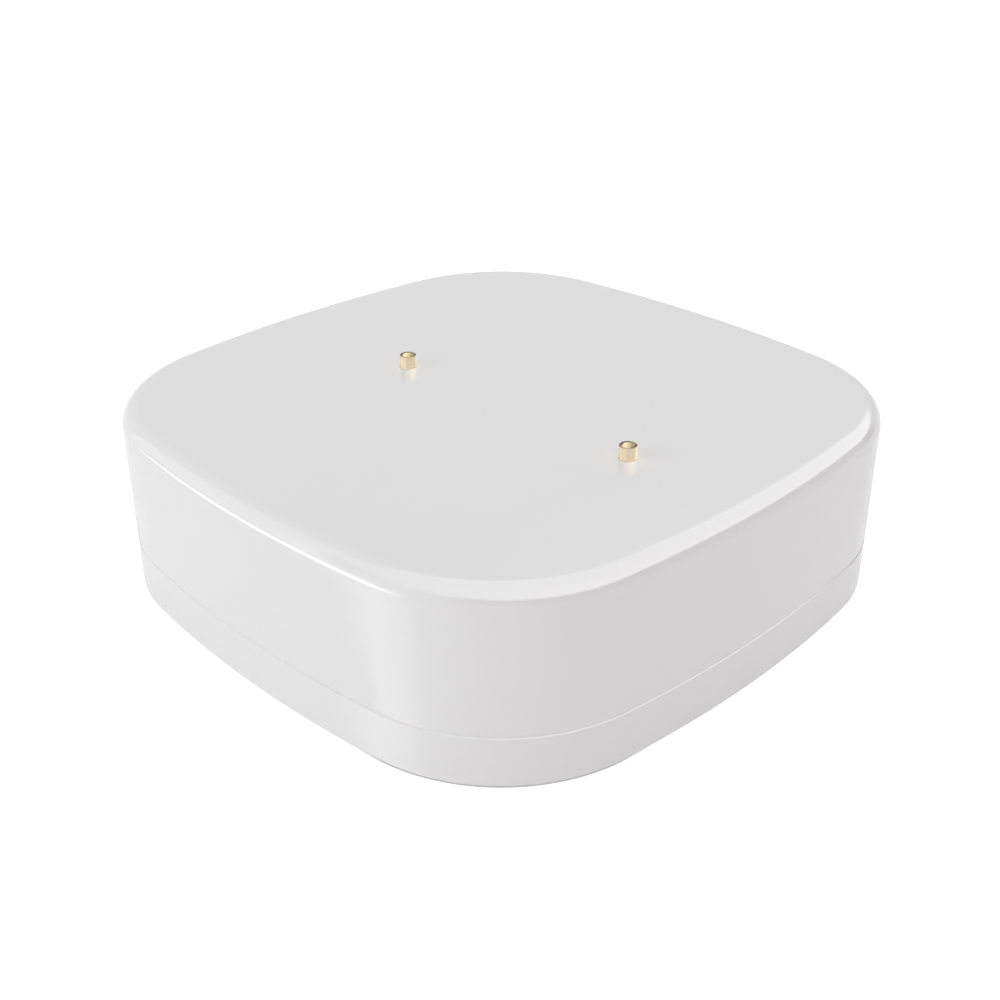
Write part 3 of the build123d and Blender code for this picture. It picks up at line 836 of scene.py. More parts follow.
def surfaced_material(name, group, **values):
    """A material, its node tree, its main shader, and the shared group that gives its colour and gloss."""
    made, tree, shader = new_material(name)
    skin = use_group(tree, group, **values).outputs
    feed_all(tree, shader, Base_Color=skin["Colour"], Roughness=skin["Roughness"])
    return made, tree, shader, skin


def overlay(tree, shader, mask, cover):
    """Lays a colour over the shader's own colour where a mask says so."""
    socket = shader.inputs["Base Color"]
    feed(tree, blend_colours(tree, mask, socket.links[0].from_socket, cover), socket)


def bump(tree, shader, height, strength, distance):
    """Feeds a height into the shader's normal."""
    sizes = {"Strength": strength, "Distance": distance, "Height": height}
    feed_all(tree, shader, Normal=wire(tree, "ShaderNodeBump", "Normal", **sizes))


def brighter(base, lift=0.0):
    """A colour as it shows on a rubbed edge."""
    return colour(*(min(1.0, channel * EDGE_GAIN + lift) for channel in base[:3]))


def plastic(name, base, shaded, gloss, grain, wear=0.3, scatter=0.0, index=PLASTIC_INDEX):
    """Moulded plastic, a little brighter and smoother where its edges are rubbed."""
    look = {"Colour": base, "Shade": shaded, "Gloss": gloss}
    made, tree, shader, skin = surfaced_material(name, moulded_surface, **look)
    rubbed = use_group(tree, edge_wear, Amount=wear).outputs["Mask"]
    overlay(tree, shader, rubbed, brighter(base, EDGE_LIFT))
    feed_all(
        tree, shader, Roughness=total(tree, skin["Roughness"], product(tree, rubbed, EDGE_POLISH)), IOR=index,
        Subsurface_Weight=scatter, Subsurface_Radius=(1.0, 0.95, 0.9), Subsurface_Scale=0.5 * MM,
    )
    bump(tree, shader, skin["Height"], strength=grain, distance=0.02 * MM)
    return made


def metal(name, base, dull, gloss):
    """Turned or plated metal, brighter along its edges."""
    made, tree, shader, skin = surfaced_material(name, turned_metal, Colour=base, Dull=dull, Gloss=gloss)
    worn = use_group(tree, edge_wear, **METAL_EDGE).outputs["Mask"]
    overlay(tree, shader, worn, brighter(base))
    feed_all(tree, shader, Metallic=1.0)
    bump(tree, shader, skin["Height"], strength=0.1, distance=0.004 * MM)
    return made


def paint_dish_and_reflection_shade(made):
    """Paints shade into the probes' drilled dishes as a darker tone on their sloping walls, and paints the
    plating darker where it is seen mirrored, so that its reflections stay faint.
    """
    tree = made.node_tree
    shader = tree.nodes["Principled BSDF"]
    coordinates = outputs_of(tree, "TexCoord")
    level, facing = (split(tree, coordinates[output])["Z"] for output in ("Object", "Normal"))
    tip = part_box("left_probe")[1].z
    high = remap(tree, level, tip - DISH_REACH * PROBE_DISH_DEPTH, tip - PROBE_DISH_DEPTH)
    # Painted shade on the dishes' sloping walls near the tip
    overlay(tree, shader, product(tree, high, remap(tree, facing, *DISH_FACING)), PAINTED_DISH_SHADE)
    # Painted reflection: darker plating where it is seen mirrored
    overlay(tree, shader, outputs_of(tree, "LightPath")["Is Glossy Ray"], PAINTED_REFLECTION_TONE)


def clear_rod():
    """Polished clear plastic of the light pipe."""
    tones = {"Colour": colour(0.95, 0.96, 0.97), "Shade": colour(0.9, 0.92, 0.94)}
    made, tree, shader, skin = surfaced_material("clear_plastic", moulded_surface, Gloss=0.06, **tones)
    feed_all(tree, shader, Transmission_Weight=0.85, IOR=PLASTIC_INDEX)
    bump(tree, shader, skin["Height"], strength=0.05, distance=0.01 * MM)
    return made


def copper_lanes(tree, place):
    """A mask of parallel tracks, which run along the board in some patches and across it in others."""
    x, y, _ = split(tree, place)
    patch = tree.nodes.new("ShaderNodeCombineXYZ")
    for value, socket in ((x, "X"), (y, "Y")):
        cell = calculate(tree, "FLOOR", calculate(tree, "DIVIDE", value, TRACK_PATCH))
        feed(tree, cell, patch.inputs[socket])
    flat = {"noise_dimensions": "2D"}
    chance = wire(tree, "ShaderNodeTexWhiteNoise", "Value", flat, Vector=patch.outputs["Vector"])
    turned = calculate(tree, "GREATER_THAN", chance, 0.5)
    along = total(tree, y, product(tree, calculate(tree, "SUBTRACT", x, y), turned))
    lane = calculate(tree, "FRACT", calculate(tree, "DIVIDE", along, TRACK_PITCH))
    off_middle = calculate(tree, "ABSOLUTE", calculate(tree, "SUBTRACT", lane, 0.5))
    other_chance = calculate(tree, "FRACT", product(tree, chance, RESHUFFLE))
    present = calculate(tree, "GREATER_THAN", other_chance, BARE_SHARE)
    return product(tree, remap(tree, off_middle, *TRACK_EDGE), present)


def board_mask():
    """Solder mask over copper, whose tracks show as slightly raised, lighter lanes."""
    tones = {"Colour": colour(0.012, 0.09, 0.045), "Shade": colour(0.008, 0.06, 0.03)}
    made, tree, shader, _ = surfaced_material("board_laminate", moulded_surface, Gloss=0.3, **tones)
    track = copper_lanes(tree, object_place(tree))
    overlay(tree, shader, track, TRACK_TONE)
    bump(tree, shader, track, strength=0.3, distance=0.03 * MM)
    return made


def glowing_lens():
    """Milky lens that glows faintly."""
    tones = {"Colour": colour(0.85, 0.9, 0.8), "Shade": colour(0.7, 0.8, 0.6)}
    made, tree, shader, _ = surfaced_material("led_lens", moulded_surface, Gloss=0.2, **tones)
    feed_all(tree, shader, Emission_Color=colour(0.3, 0.9, 0.4), Emission_Strength=0.15)
    return made


# Plastics by slot: colour, shade, gloss, grain, and what they don't share with the others
PLASTICS = {
    "white_shell": (
        (0.787, 0.781, 0.782), (0.769, 0.763, 0.764), 0.1, 0.03,
        {"wear": 0.45, "scatter": 0.06, "index": 1.68},
    ),
    "white_inner_plastic": ((0.72, 0.71, 0.69), (0.66, 0.65, 0.63), 0.42, 0.2, {}),
    "silicone": ((0.24, 0.24, 0.25), (0.19, 0.19, 0.2), 0.55, 0.25, {"wear": 0.1}),
    "gasket": ((0.015, 0.015, 0.016), (0.03, 0.03, 0.03), 0.6, 0.2, {}),
    "black_plastic": ((0.02, 0.02, 0.022), (0.035, 0.035, 0.036), 0.4, 0.3, {}),
    "chip_plastic": ((0.015, 0.015, 0.015), (0.03, 0.03, 0.03), 0.5, 0.35, {}),
    "capacitor_plastic": ((0.7, 0.42, 0.06), (0.6, 0.34, 0.05), 0.4, 0.2, {}),
    "ceramic": ((0.5, 0.42, 0.3), (0.42, 0.35, 0.26), 0.45, 0.2, {}),
}
# Metals by slot: colour, colour where dull, and gloss
METALS = {
    "gold_plate": ((1.0, 0.85, 0.61), (0.97, 0.8, 0.54), 0.07),
    "plated_steel": ((0.7, 0.69, 0.67), (0.64, 0.63, 0.61), 0.2),
    "tinned_steel": ((0.66, 0.66, 0.65), (0.5, 0.5, 0.5), 0.35),
}
materials = {
    "clear_plastic": clear_rod(),
    "board_laminate": board_mask(),
    "led_lens": glowing_lens(),
}
for slot, (base, shaded, gloss, grain, others) in PLASTICS.items():
    materials[slot] = plastic(slot, colour(*base), colour(*shaded), gloss, grain, **others)
for slot, (base, dull, gloss) in METALS.items():
    materials[slot] = metal(slot, colour(*base), colour(*dull), gloss)
# Painted shade in the probes' dishes, and darker plating in their reflections
paint_dish_and_reflection_shade(materials["gold_plate"])


def finish_piece(obj, slot, body, *nodes):
    """Gives a new piece its material and shading and the body that it rides on, and hides the CAD nodes that
    it takes the place of.
    """
    obj.data.materials.clear()
    obj.data.materials.append(materials[slot])
    shade(obj)
    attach(obj, body)
    if nodes:
        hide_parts(*nodes)
    return obj


def turned_piece(name, profile, place, look, node, steps=TURN_STEPS, edge=PROBE_EDGE, edge_steps=EDGE_STEPS):
    """A finished piece turned from a profile with eased corners. Its look is a slot and a body."""
    return finish_piece(lathe(name, rounded(profile, edge, edge_steps), place, steps), *look, node)


# Housing


def housing_shell():
    """Deep shell: rounded rim, smooth walls, the seam's tongue, and the bosses and ribs under its roof."""
    tongue_low = SKIRT_HEIGHT - TONGUE_DEPTH
    tongue_inset = SKIRT_WALL + TONGUE_GAP
    rim_low = body_top - RIM_RADIUS
    profile = [
        (HOUSING_WALL + INNER_RIM_EDGE, roof_under),
        (HOUSING_WALL, roof_under - INNER_RIM_EDGE),
        (HOUSING_WALL, tongue_low + TONGUE_LEAD),
        (HOUSING_WALL - TONGUE_LEAD, tongue_low),
        (tongue_inset + TONGUE_LEAD, tongue_low),
        (tongue_inset, tongue_low + TONGUE_LEAD),
        (tongue_inset, SKIRT_HEIGHT),
        (SEAM_LIP, SKIRT_HEIGHT),
        (0.0, SKIRT_HEIGHT + SEAM_LEAN),
        (0.0, rim_low - SEAM_CHAMFER),
    ]
    profile += quarter_arc((RIM_RADIUS, rim_low), RIM_RADIUS, math.pi, RIM_STEPS)
    profile.append((RIM_RADIUS + SEAM_CHAMFER, body_top))
    shell = outline_sweep("housing_shell", profile, "white_shell")
    combine(shell, roof_ribs() + board_bosses() + probe_collars(), "UNION")
    combine(shell, housing_bores(), "DIFFERENCE")
    return finish_piece(shell, "white_shell", "housing", "probe_housing")


def roof_ribs():
    """Crossed ribs under the roof."""
    length = 2 * (half_width - HOUSING_WALL - MM)
    low, high = roof_under - ROOF_RIB_DEPTH, roof_under + SINK
    pieces = []
    for side in (-1, 1):
        middle = side * ROOF_RIB_SHARE * half_width
        pieces += crossed_bars(length, middle, ROOF_RIB_THICKNESS, low, high)
    return pieces


def board_bosses():
    """Posts for the board's screws, each with two gussets that run towards the middle."""
    pieces = []
    high = roof_under + SINK
    half = RIB_THICKNESS / 2
    for place in boss_places:
        pieces.append(post("boss", place, BOSS_RADIUS, board_high.z, high, BOSS_STEPS))
        inward = Vector((-math.copysign(GUSSET_LENGTH, place.x), -math.copysign(GUSSET_LENGTH, place.y)))
        for reach_x, reach_y, wide_x, wide_y in ((inward.x, 0.0, 0.0, half), (0.0, inward.y, half, 0.0)):
            low = (min(place.x, place.x + reach_x) - wide_x, min(place.y, place.y + reach_y) - wide_y)
            top = (max(place.x, place.x + reach_x) + wide_x, max(place.y, place.y + reach_y) + wide_y)
            pieces.append(block("gusset", (*low, roof_under - GUSSET_HEIGHT), (*top, high)))
    return pieces


def probe_collars():
    """Bosses inside the roof that the probes' flanges bear on."""
    low, high = roof_under - PROBE_BOSS_HEIGHT, roof_under + SINK
    return [post("collar", place, PROBE_BOSS_RADIUS, low, high) for place in probe_places.values()]


def housing_bores():
    """Bores for the probes, pockets for their seals, and the screws' blind holes."""
    boss_low = roof_under - PROBE_BOSS_HEIGHT
    levels = (boss_low - MM, boss_low + PROBE_SEAL_ROOM, body_top + MM)
    cuts = []
    for side, place in probe_places.items():
        pocket = radius_of(f"{side}_probe_seal") + PROBE_BORE_GAP
        cuts.append(stepped_bore("bore", place, (pocket, PROBE_RADIUS + PROBE_BORE_GAP), levels))
    hole_top = heights("board_screws")[1] + SCREW_HOLE_EXTRA
    for place in boss_places:
        cuts.append(post("hole", place, SCREW_RADIUS, board_high.z - MM, hole_top, HOLE_STEPS))
    return cuts


def probe_pin(side):
    """Turned pin: dished tip, flange on the boss and tail for the contact."""
    node = f"{side}_probe"
    low, high = heights(node)
    flange_high = roof_under - PROBE_BOSS_HEIGHT
    flange_low = flange_high - PROBE_FLANGE
    profile = staircase(
        PROBE_DISH_RADIUS, high, PROBE_RADIUS, flange_high, radius_of(node), flange_low,
        PROBE_TAIL_RADIUS, low, TINY,
    )
    ball = (PROBE_DISH_RADIUS**2 + PROBE_DISH_DEPTH**2) / (2 * PROBE_DISH_DEPTH)
    opening = math.asin(PROBE_DISH_RADIUS / ball)
    dish = []
    for step in range(1, DISH_STEPS):
        angle = opening * step / DISH_STEPS
        dish.append((ball * math.sin(angle), high - PROBE_DISH_DEPTH + ball * (1 - math.cos(angle))))
    pin = lathe(f"{side}_pin", dish + rounded(profile, PROBE_EDGE), probe_places[side])
    return finish_piece(pin, "gold_plate", "housing", node)


def cord_ring(name, node, body):
    """Sealing ring of round cord."""
    low, high = heights(node)
    cord = (high - low) / 2
    ring = add_object(name, new_mesh(name, ()))
    values = {"Ring_Radius": radius_of(node) - cord, "Cord_Radius": cord, "Place": centre_of(node)}
    run_tree(ring, sealing_ring, Material=materials["silicone"], **values)
    return finish_piece(clean(ring), "silicone", body, node)


# Cover


def cover_shell():
    """Shallow shell: skirt, webbed channel, grooved spigot, ribbed floor and the button's collar."""
    seal_low, seal_high = heights("seal_ring")
    groove_inset = HOUSING_WALL + SEAL_CORD + 2 * SEAL_GAP
    profile = [(FOOT_RADIUS + SEAM_CHAMFER, 0.0)]
    profile += quarter_arc((FOOT_RADIUS, FOOT_RADIUS), FOOT_RADIUS, -math.pi / 2, FOOT_STEPS)
    profile += [(0.0, FOOT_RADIUS + SEAM_CHAMFER), (0.0, SKIRT_HEIGHT - SEAM_CHAMFER)]
    profile += staircase(
        SEAM_CHAMFER, SKIRT_HEIGHT, SKIRT_WALL, FLOOR_THICKNESS, spigot_inset, seal_low - SEAL_GAP,
        groove_inset, seal_high + SEAL_GAP, spigot_inset, spigot_top, spigot_inner, FLOOR_THICKNESS,
    )
    shell = outline_sweep("cover_shell", profile, "white_shell")
    combine(shell, floor_ribs() + cover_collars() + [channel_webs()], "UNION")
    combine(shell, cover_cuts(), "DIFFERENCE")
    return finish_piece(shell, "white_shell", "cover", "base_cover")


def floor_ribs():
    """Crossed ribs on the cover's floor."""
    side_radius = SIDE_RADIUS - spigot_inner
    pieces = []
    for share in RIB_SHARES:
        middle = share * half_width
        end = half_width - SIDE_RADIUS + math.sqrt(side_radius**2 - middle**2) + SINK
        top = FLOOR_THICKNESS + RIB_HEIGHT
        pieces += crossed_bars(2 * end, middle, RIB_THICKNESS, FLOOR_THICKNESS - SINK, top)
    return pieces


def cover_collars():
    """The round guard under the cell, and the collar that holds the button's ring."""
    low = FLOOR_THICKNESS - SINK
    guard = GUARD_SHARE * radius_of("cell_can")
    section = band_section(guard, guard - RIB_THICKNESS, low, heights("battery_clip")[0] - GUARD_GAP)
    collar = radius_of("button_retainer") + COLLAR_WALL
    return [
        lathe("guard", section, cell_place, closed=True),
        post("collar", button_place, collar, low, heights("button_retainer")[1], TURN_STEPS),
    ]


def channel_webs():
    """Webs across the channel between the skirt and the spigot, below the housing's tongue."""
    low = FLOOR_THICKNESS - SINK
    top = SKIRT_HEIGHT - TONGUE_DEPTH - TONGUE_GAP
    inner = spigot_inset + SINK
    section = band_section(SKIRT_WALL - SINK, inner, low, top)
    band = outline_sweep("webs", section, "white_shell", closed=True)
    half = RIB_THICKNESS / 2
    bars = []
    for quarter in range(4):
        turn = quarter * math.pi / 2
        for share in WEB_SHARES:
            middle = share * half_width
            near = (half_width - 3 * inner, middle - half, low - MM)
            bars.append(block("web", near, (half_width + MM, middle + half, top + MM), turn))
        near = (half_width / 2, -half, low - MM)
        bars.append(block("web", near, (2 * half_width, half, top + MM), turn + math.pi / 4))
    return combine(band, bars, "INTERSECT")


def cover_cuts():
    """The button's stepped bore, the light pipe's bore and the notch for levering the cover off."""
    top = spigot_top + MM
    button_bore = (BUTTON_RADIUS + BUTTON_GAP, radius_of("button_retainer"))
    pipe_bore = (PIPE_RADIUS + TINY, radius_of("light_pipe") + TINY)
    low = (-NOTCH_WIDTH / 2, half_width - NOTCH_DEPTH, SKIRT_HEIGHT - NOTCH_HEIGHT)
    return [
        stepped_bore("button_bore", button_place, button_bore, (-MM, BUTTON_LIP, top), TURN_STEPS),
        stepped_bore("pipe_bore", light_place, pipe_bore, (-MM, FLOOR_THICKNESS, top)),
        block("notch", low, (NOTCH_WIDTH / 2, half_width + MM, SKIRT_HEIGHT + MM)),
    ]


def seam_seal():
    """Moulded silicone ring in the spigot's groove."""
    low, high = heights("seal_ring")
    outer = HOUSING_WALL + SEAL_GAP
    inner = outer + SEAL_CORD
    section = [
        (outer + SEAL_EDGE, low), (outer, low + SEAL_EDGE),
        (outer, high - SEAL_EDGE), (outer + SEAL_EDGE, high),
        (inner - SEAL_EDGE, high), (inner, high - SEAL_EDGE),
        (inner, low + SEAL_EDGE), (inner - SEAL_EDGE, low),
    ]
    ring = outline_sweep("seam_seal", section, "silicone", closed=True)
    return finish_piece(ring, "silicone", "cover", "seal_ring")


def light_rod():
    """Clear rod with its seating collar."""
    low, high = heights("light_pipe")
    collar = radius_of("light_pipe")
    collar_top = FLOOR_THICKNESS + PIPE_COLLAR
    profile = staircase(
        TINY, low, PIPE_RADIUS, FLOOR_THICKNESS, collar, collar_top, PIPE_RADIUS, high, TINY
    )
    look = ("clear_plastic", "cover")
    return turned_piece("light_rod", profile, light_place, look, "light_pipe", SMALL_TURN_STEPS)


def retaining_ring():
    """Ring pressed into the collar, with an eased lip."""
    inner = radius_of("button_seal") + SEAL_GAP
    section = band_section(radius_of("button_retainer"), inner, *heights("button_retainer"))
    ring = lathe("retaining_ring", rounded(section + section[:1], PROBE_EDGE)[1:], button_place, closed=True)
    return finish_piece(ring, "white_inner_plastic", "cover", "button_retainer")


def button_cap():
    """Button with a shallow dish, its flange and its grooved stem."""
    low, high = heights("function_button")
    seal_low, seal_high = heights("button_seal")
    flange_top = BUTTON_LIP + BUTTON_FLANGE
    dish = BUTTON_RADIUS - BUTTON_DISH_RIM
    groove = radius_of("button_seal") - (seal_high - seal_low)
    profile = [(TINY, low + BUTTON_DISH), (dish - BUTTON_DISH, low + BUTTON_DISH)]
    profile += staircase(
        dish, low, BUTTON_RADIUS, BUTTON_LIP, radius_of("function_button"), flange_top,
        BUTTON_STEM_RADIUS, seal_low, groove, seal_high, BUTTON_STEM_RADIUS, high, TINY,
    )
    look = ("white_shell", "button")
    return turned_piece("button_cap", profile, button_place, look, "function_button", edge=BUTTON_EDGE)


def plunger_pin():
    """The tactile switch's plunger, with a domed nose."""
    low, high = heights("switch_plunger")
    profile = staircase(TINY, low, radius_of("switch_plunger"), high, TINY)
    look = ("black_plastic", "plunger")
    edges = {"steps": SMALL_TURN_STEPS, "edge": BUTTON_EDGE}
    return turned_piece("plunger_pin", profile, button_place, look, "switch_plunger", **edges)


# Cell and board


def coin_cell():
    """The cell's drawn can, its gasket and its stepped cap."""
    low, high = heights("cell_can")
    cap_low, cap_high = heights("cell_cap")
    seat = radius_of("cell_gasket")
    cap = radius_of("cell_cap")
    can_profile = staircase(TINY, low, radius_of("cell_can"), high, seat, cap_low, TINY)
    look = ("plated_steel", "housing")
    edges = {"steps": CELL_STEPS, "edge": CELL_EDGE, "edge_steps": CELL_EDGE_STEPS}
    turned_piece("cell_body", can_profile, cell_place, look, "cell_can", **edges)
    section = band_section(seat, cap, *heights("cell_gasket"))
    ring = lathe("cell_ring", section, cell_place, CELL_STEPS, closed=True)
    finish_piece(ring, "gasket", "housing", "cell_gasket")
    cap_profile = staircase(TINY, cap_low, cap, cap_high, TINY)
    edges = {"steps": CELL_STEPS, "edge": CELL_EDGE / 2, "edge_steps": CAP_EDGE_STEPS}
    turned_piece("cell_top", cap_profile, cell_place, look, "cell_cap", **edges)


def cell_cradle():
    """Moulded holder: base, round wall with a mouth, and the contact's slot."""
    low, high = heights("battery_holder")
    outer = radius_of("battery_holder")
    base_low = high - HOLDER_BASE
    profile = staircase(TINY, base_low, outer - HOLDER_WALL, low, outer, high, TINY)
    cradle = lathe("cell_cradle", rounded(profile, PROBE_EDGE, CRADLE_EDGE_STEPS), cell_place, CELL_STEPS)
    mouth_low = (cell_place.x - 2 * outer, -HOLDER_MOUTH / 2, low - MM)
    mouth = block("mouth", mouth_low, (cell_place.x - outer / 2, HOLDER_MOUTH / 2, base_low))
    length, width = HOLDER_SLOT
    slot_x = cell_place.x - CONTACT_REACH - length / 2
    slot_low = (slot_x - length / 2, -width / 2, low - MM)
    slot = block("slot", slot_low, (slot_x + length / 2, width / 2, high + MM))
    combine(cradle, [mouth, slot], "DIFFERENCE")
    return finish_piece(cradle, "black_plastic", "housing", "battery_holder")


def board_screw_set():
    """Four screws with domed heads and cross recesses."""
    low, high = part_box("board_screws")
    head = (high.x - low.x) / 2 - boss_reach
    profile = [(TINY, low.z), (head * SCREW_DOME_SHARE, low.z + TINY)]
    profile += [(head, board_low.z - 2 * LEAD_LENGTH), (head, board_low.z), (SCREW_RADIUS, board_low.z)]
    profile += [(SCREW_RADIUS, high.z - SCREW_RADIUS), (TINY, high.z)]
    screw = lathe("screw", rounded(profile, PROBE_EDGE), origin, POST_STEPS)
    length, width, depth = SCREW_SLOT
    combine(screw, crossed_bars(length, 0.0, width, low.z - MM, low.z + depth), "DIFFERENCE")
    places = [(place, SCREW_TURN * number) for number, place in enumerate(boss_places)]
    return copies("board_screw_set", screw, places, "plated_steel", "board_screws")


def ring_plate(name, outer, inner):
    """A flat plated ring that spans the board and stands a little proud of both its faces."""
    section = band_section(outer, inner, board_low.z - PLATING, board_high.z + PLATING)
    return lathe(name, section, origin, PLATE_STEPS, closed=True)


def board_plating():
    """Stitching holes along the board's rim, plated rings at its screws, and bare test pads."""
    inset = half_width - (board_high.y - board_low.y) / 2 + VIA_INSET
    path = line_object("edge_vias", [(x, y, 0.0) for x, y in outline(inset)], True)
    via = ring_plate("via", VIA_RADIUS, VIA_HOLE)
    run_tree(path, copies_along, Copy=via, Pitch=VIA_PITCH, Material=materials["gold_plate"])
    bpy.data.objects.remove(via)
    finish_piece(path, "gold_plate", "housing")
    passage = SCREW_RADIUS + 2 * SCREW_PAD_WIDTH
    pad = ring_plate("pad", passage, passage - SCREW_PAD_WIDTH / 2)
    copies("screw_pads", pad, [(place, 0.0) for place in boss_places], "gold_plate")
    pad = ring_plate("pad", TEST_PAD_RADIUS, VIA_HOLE)
    board_half = board_high.y
    places = [(Vector((x * board_half, y * board_half, 0.0)), 0.0) for x, y in TEST_PAD_SHARES]
    copies("test_pads", pad, places, "gold_plate")


def part_terminals(name, nodes):
    """Tinned ends of small parts that are longer along X."""
    groups = {}
    for node in nodes:
        for low, high in solids_of(node):
            size = tuple(round(value / TINY) for value in high - low)
            groups.setdefault(size, []).append((low, high))
    for number, boxes in enumerate(groups.values(), 1):
        low, high = boxes[0]
        depth, height = high.y - low.y, high.z - low.z
        near = (0.0, -depth / 2 - PLATING, -height / 2 - PLATING)
        end = block("end", near, (TERMINAL_LENGTH, depth / 2 + PLATING, height / 2 + PLATING))
        eased(end, PLATING)
        places = []
        for low, high in boxes:
            middle = (low + high) / 2
            places.append((Vector((low.x - PLATING, middle.y, middle.z)), 0.0))
            places.append((Vector((high.x + PLATING, middle.y, middle.z)), math.pi))
        copies(f"{name}_{number}", end, places, "tinned_steel")


def chip_leads(name, node, above):
    """Flat leads round a square chip, at the board's face."""
    low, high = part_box(node)
    middle = (low + high) / 2
    level = board_high.z + PLATING if above else board_low.z - PLATING
    reach = (high.x - low.x) / 2
    lead = block("lead", (-LEAD_LENGTH, -LEAD_WIDTH / 2, -PLATING), (LEAD_LENGTH, LEAD_WIDTH / 2, PLATING))
    count = int((2 * reach - LEAD_PITCH) / LEAD_PITCH)
    places = []
    for side in range(4):
        turn = side * math.pi / 2
        spin = Matrix.Rotation(turn, 2)
        for number in range(count):
            across = (number - (count - 1) / 2) * LEAD_PITCH
            x, y = spin @ Vector((reach, across))
            places.append((Vector((middle.x + x, middle.y + y, level)), turn))
    return copies(name, eased(lead, PLATING / 2, 1), places, "tinned_steel")


def radio_edge_contacts():
    """Plated half rings in the radio board's notches."""
    low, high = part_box("radio_board")
    middle = (low + high) / 2
    inner, outer = RADIO_NOTCH_RADIUS - PLATING, RADIO_NOTCH_RADIUS + 4 * PLATING
    section = band_section(outer, inner, low.z, high.z + PLATING)
    rings = []
    for step in range(CONTACT_STEPS + 1):
        angle = math.pi * step / CONTACT_STEPS
        east, north = math.cos(angle), math.sin(angle)
        rings.append([(radius * east, radius * north, height) for radius, height in section])
    contact = loft("contact", rings)
    places = []
    for number in range(RADIO_NOTCH_COUNT):
        x = middle.x + (number - (RADIO_NOTCH_COUNT - 1) / 2) * RADIO_NOTCH_PITCH
        places.append((Vector((x, low.y, 0.0)), 0.0))
        places.append((Vector((x, high.y, 0.0)), math.pi))
    return copies("radio_edge_contacts", contact, places, "gold_plate")


housing_shell()
cover_shell()
seam_seal()
light_rod()
retaining_ring()
button_cap()
plunger_pin()
cord_ring("stem_seal", "button_seal", "button")
for side in probe_places:
    probe_pin(side)
    cord_ring(f"{side}_pin_seal", f"{side}_probe_seal", "housing")
coin_cell()
cell_cradle()
board_screw_set()
board_plating()
part_terminals("part_ends", ("ceramic_capacitors", "resistors", "protection_diodes", "chip_antenna"))
part_terminals("capacitor_ends", ("bulk_capacitor",))
chip_leads("control_chip_leads", "control_chip", False)
chip_leads("sensing_chip_leads", "sensing_chip", True)
radio_edge_contacts()


# Finishes of the pieces whose CAD shape is right

node_slots = {entry["node"]: entry["material_slot"] for entry in frame["record"]["subparts"]}
for node, obj in frame["nodes"].items():
    for number in range(len(obj.material_slots)):
        obj.material_slots[number].material = materials[node_slots[node]]


# Stage, light and camera


def floor_finish(name, shadow):
    """Pale matt floor, white to the camera. Its shadow is a painted contact shadow that darkens it close to
    the front corner, and a panel and a strip on it glow only for mirrored rays, as painted light.
    """
    made, tree, shader = new_material(name)
    place = split(tree, object_place(tree))
    forward = calculate(tree, "SUBTRACT", place["X"], place["Y"])
    front = max(x - y for x, y in outline())
    # Painted contact shadow: darker floor near the front corner
    near = product(tree, remap(tree, forward, front - CONTACT_START, front - CONTACT_FULL), shadow)
    rays = outputs_of(tree, "LightPath")
    shown = product(tree, rays["Is Camera Ray"], FLOOR_LIFT)
    # Painted light: a strip and a panel of floor that glow only in reflections
    strip = product(tree, STRIP_LEVEL, *within(tree, place, STRIP_EDGES), *within(tree, rays, STRIP_REACH))
    below = total(tree, use_group(tree, studio).outputs["Floor"], strip)
    glow = total(tree, shown, product(tree, rays["Is Glossy Ray"], below), FLOOR_GLOW)
    back = outputs_of(tree, "NewGeometry")["Backfacing"]
    feed_all(
        tree, shader, Base_Color=blend_colours(tree, near, FLOOR_TONE, SHADOW_TONE), Roughness=0.6,
        Specular_IOR_Level=0.2, Emission_Color=colour(1, 1, 1), Alpha=outside(tree, back),
        Emission_Strength=product(tree, glow, outside(tree, near)),
    )
    return made


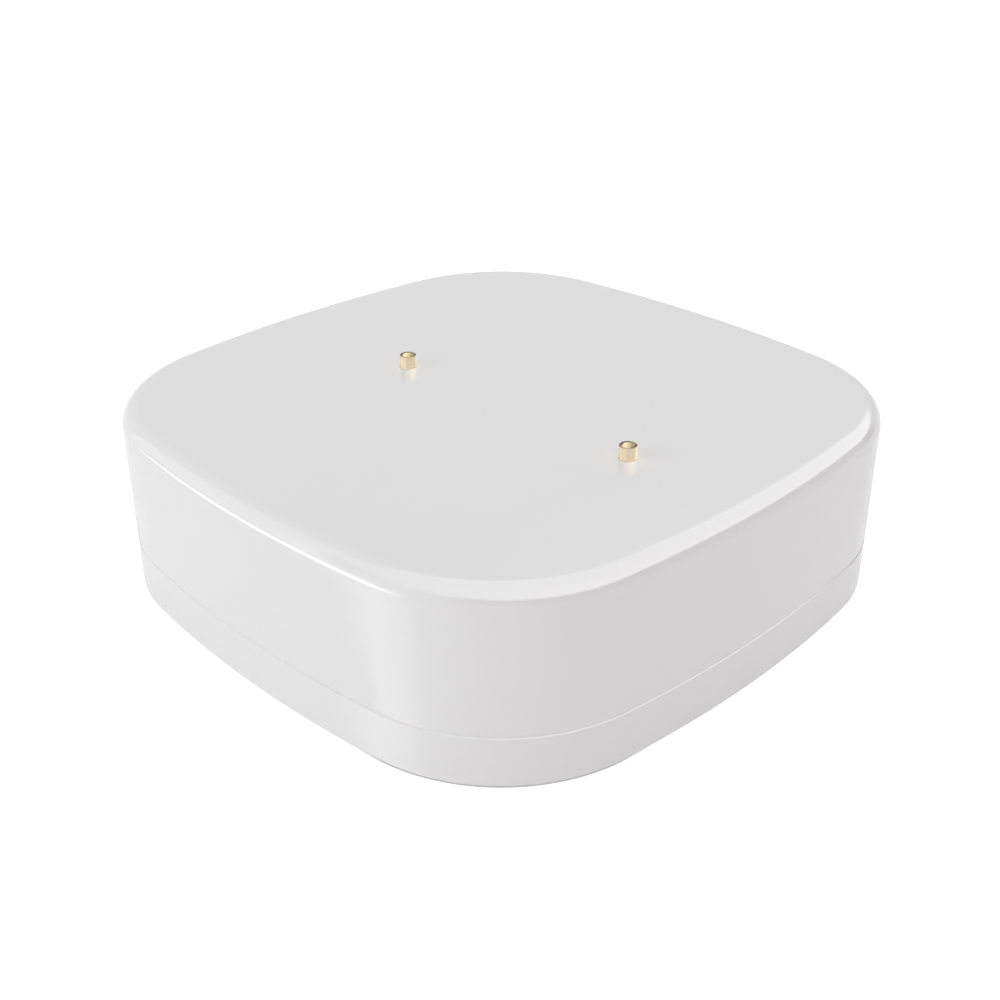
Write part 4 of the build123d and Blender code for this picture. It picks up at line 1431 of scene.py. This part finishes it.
def stage_floor():
    """Pale floor that takes the object's shadow. It is open under the object, and clear from below."""
    edge = outline(CONTACT_INSET)
    count = len(edge)
    rings = ([(x * FLOOR_REACH, y * FLOOR_REACH) for x, y in edge], edge, outline(FLOOR_HOLE_INSET))
    points = [(x, y, 0.0) for ring in rings for x, y in ring]
    mesh = new_mesh("floor", points, faces=ring_faces(len(rings), count))
    mesh.materials.append(floor_finish("pale_floor", 0.0))
    # The inner ring carries the painted contact shadow
    mesh.materials.append(floor_finish("contact_shadow", CONTACT_SHADOW))
    for face in mesh.polygons[count:]:
        face.material_index = 1
    add_object("floor", mesh)


def world_light():
    """Even white surroundings: white to the camera, and softer as light."""
    world = bpy.data.worlds.new("surroundings")
    world.use_nodes = True
    bpy.context.scene.world = world
    tree = world.node_tree
    rays = outputs_of(tree, "LightPath")
    east = remap(tree, split(tree, outputs_of(tree, "NewGeometry")["Incoming"])["X"], *EAST_EDGE)
    tint = blend_colours(tree, product(tree, rays["Is Diffuse Ray"], east), colour(1, 1, 1), EAST_TINT)
    seen = calculate(tree, "MAXIMUM", rays["Is Camera Ray"], rays["Is Transmission Ray"])
    sky = use_group(tree, studio).outputs["Sky"]
    light = remap(tree, rays["Is Glossy Ray"], 0.0, 1.0, WORLD_STRENGTH, sky)
    strength = remap(tree, seen, 0.0, 1.0, light, 1.0)
    feed_all(tree, tree.nodes["Background"], Color=tint, Strength=strength)


def aim(obj, place, direction):
    """Puts a lamp or a camera at a place and points it along a direction."""
    obj.location = place
    obj.rotation_euler = direction.to_track_quat("-Z", "Y").to_euler()


def softbox(name, place, size, power):
    """A rectangular lamp that points at the object and isn't mirrored in it."""
    lamp = bpy.data.lights.new(name, "AREA")
    lamp.shape = "RECTANGLE"
    lamp.size, lamp.size_y = size
    lamp.energy = power
    obj = add_object(name, lamp)
    obj.visible_glossy = False
    aim(obj, place, Vector((0, 0, body_top / 2)) - Vector(place))


def camera():
    """Camera at the photograph's place."""
    lens = bpy.data.cameras.new("camera")
    lens.lens = LENS
    lens.sensor_width = SENSOR
    lens.clip_start = MM
    obj = add_object("camera", lens)
    aim(obj, CAMERA_PLACE, Vector(CAMERA_AIM))
    bpy.context.scene.camera = obj


stage_floor()
world_light()
for name, place, size, power in SOFTBOXES:
    softbox(name, place, size, power)
camera()
bpy.context.scene.view_settings.view_transform = "Standard"
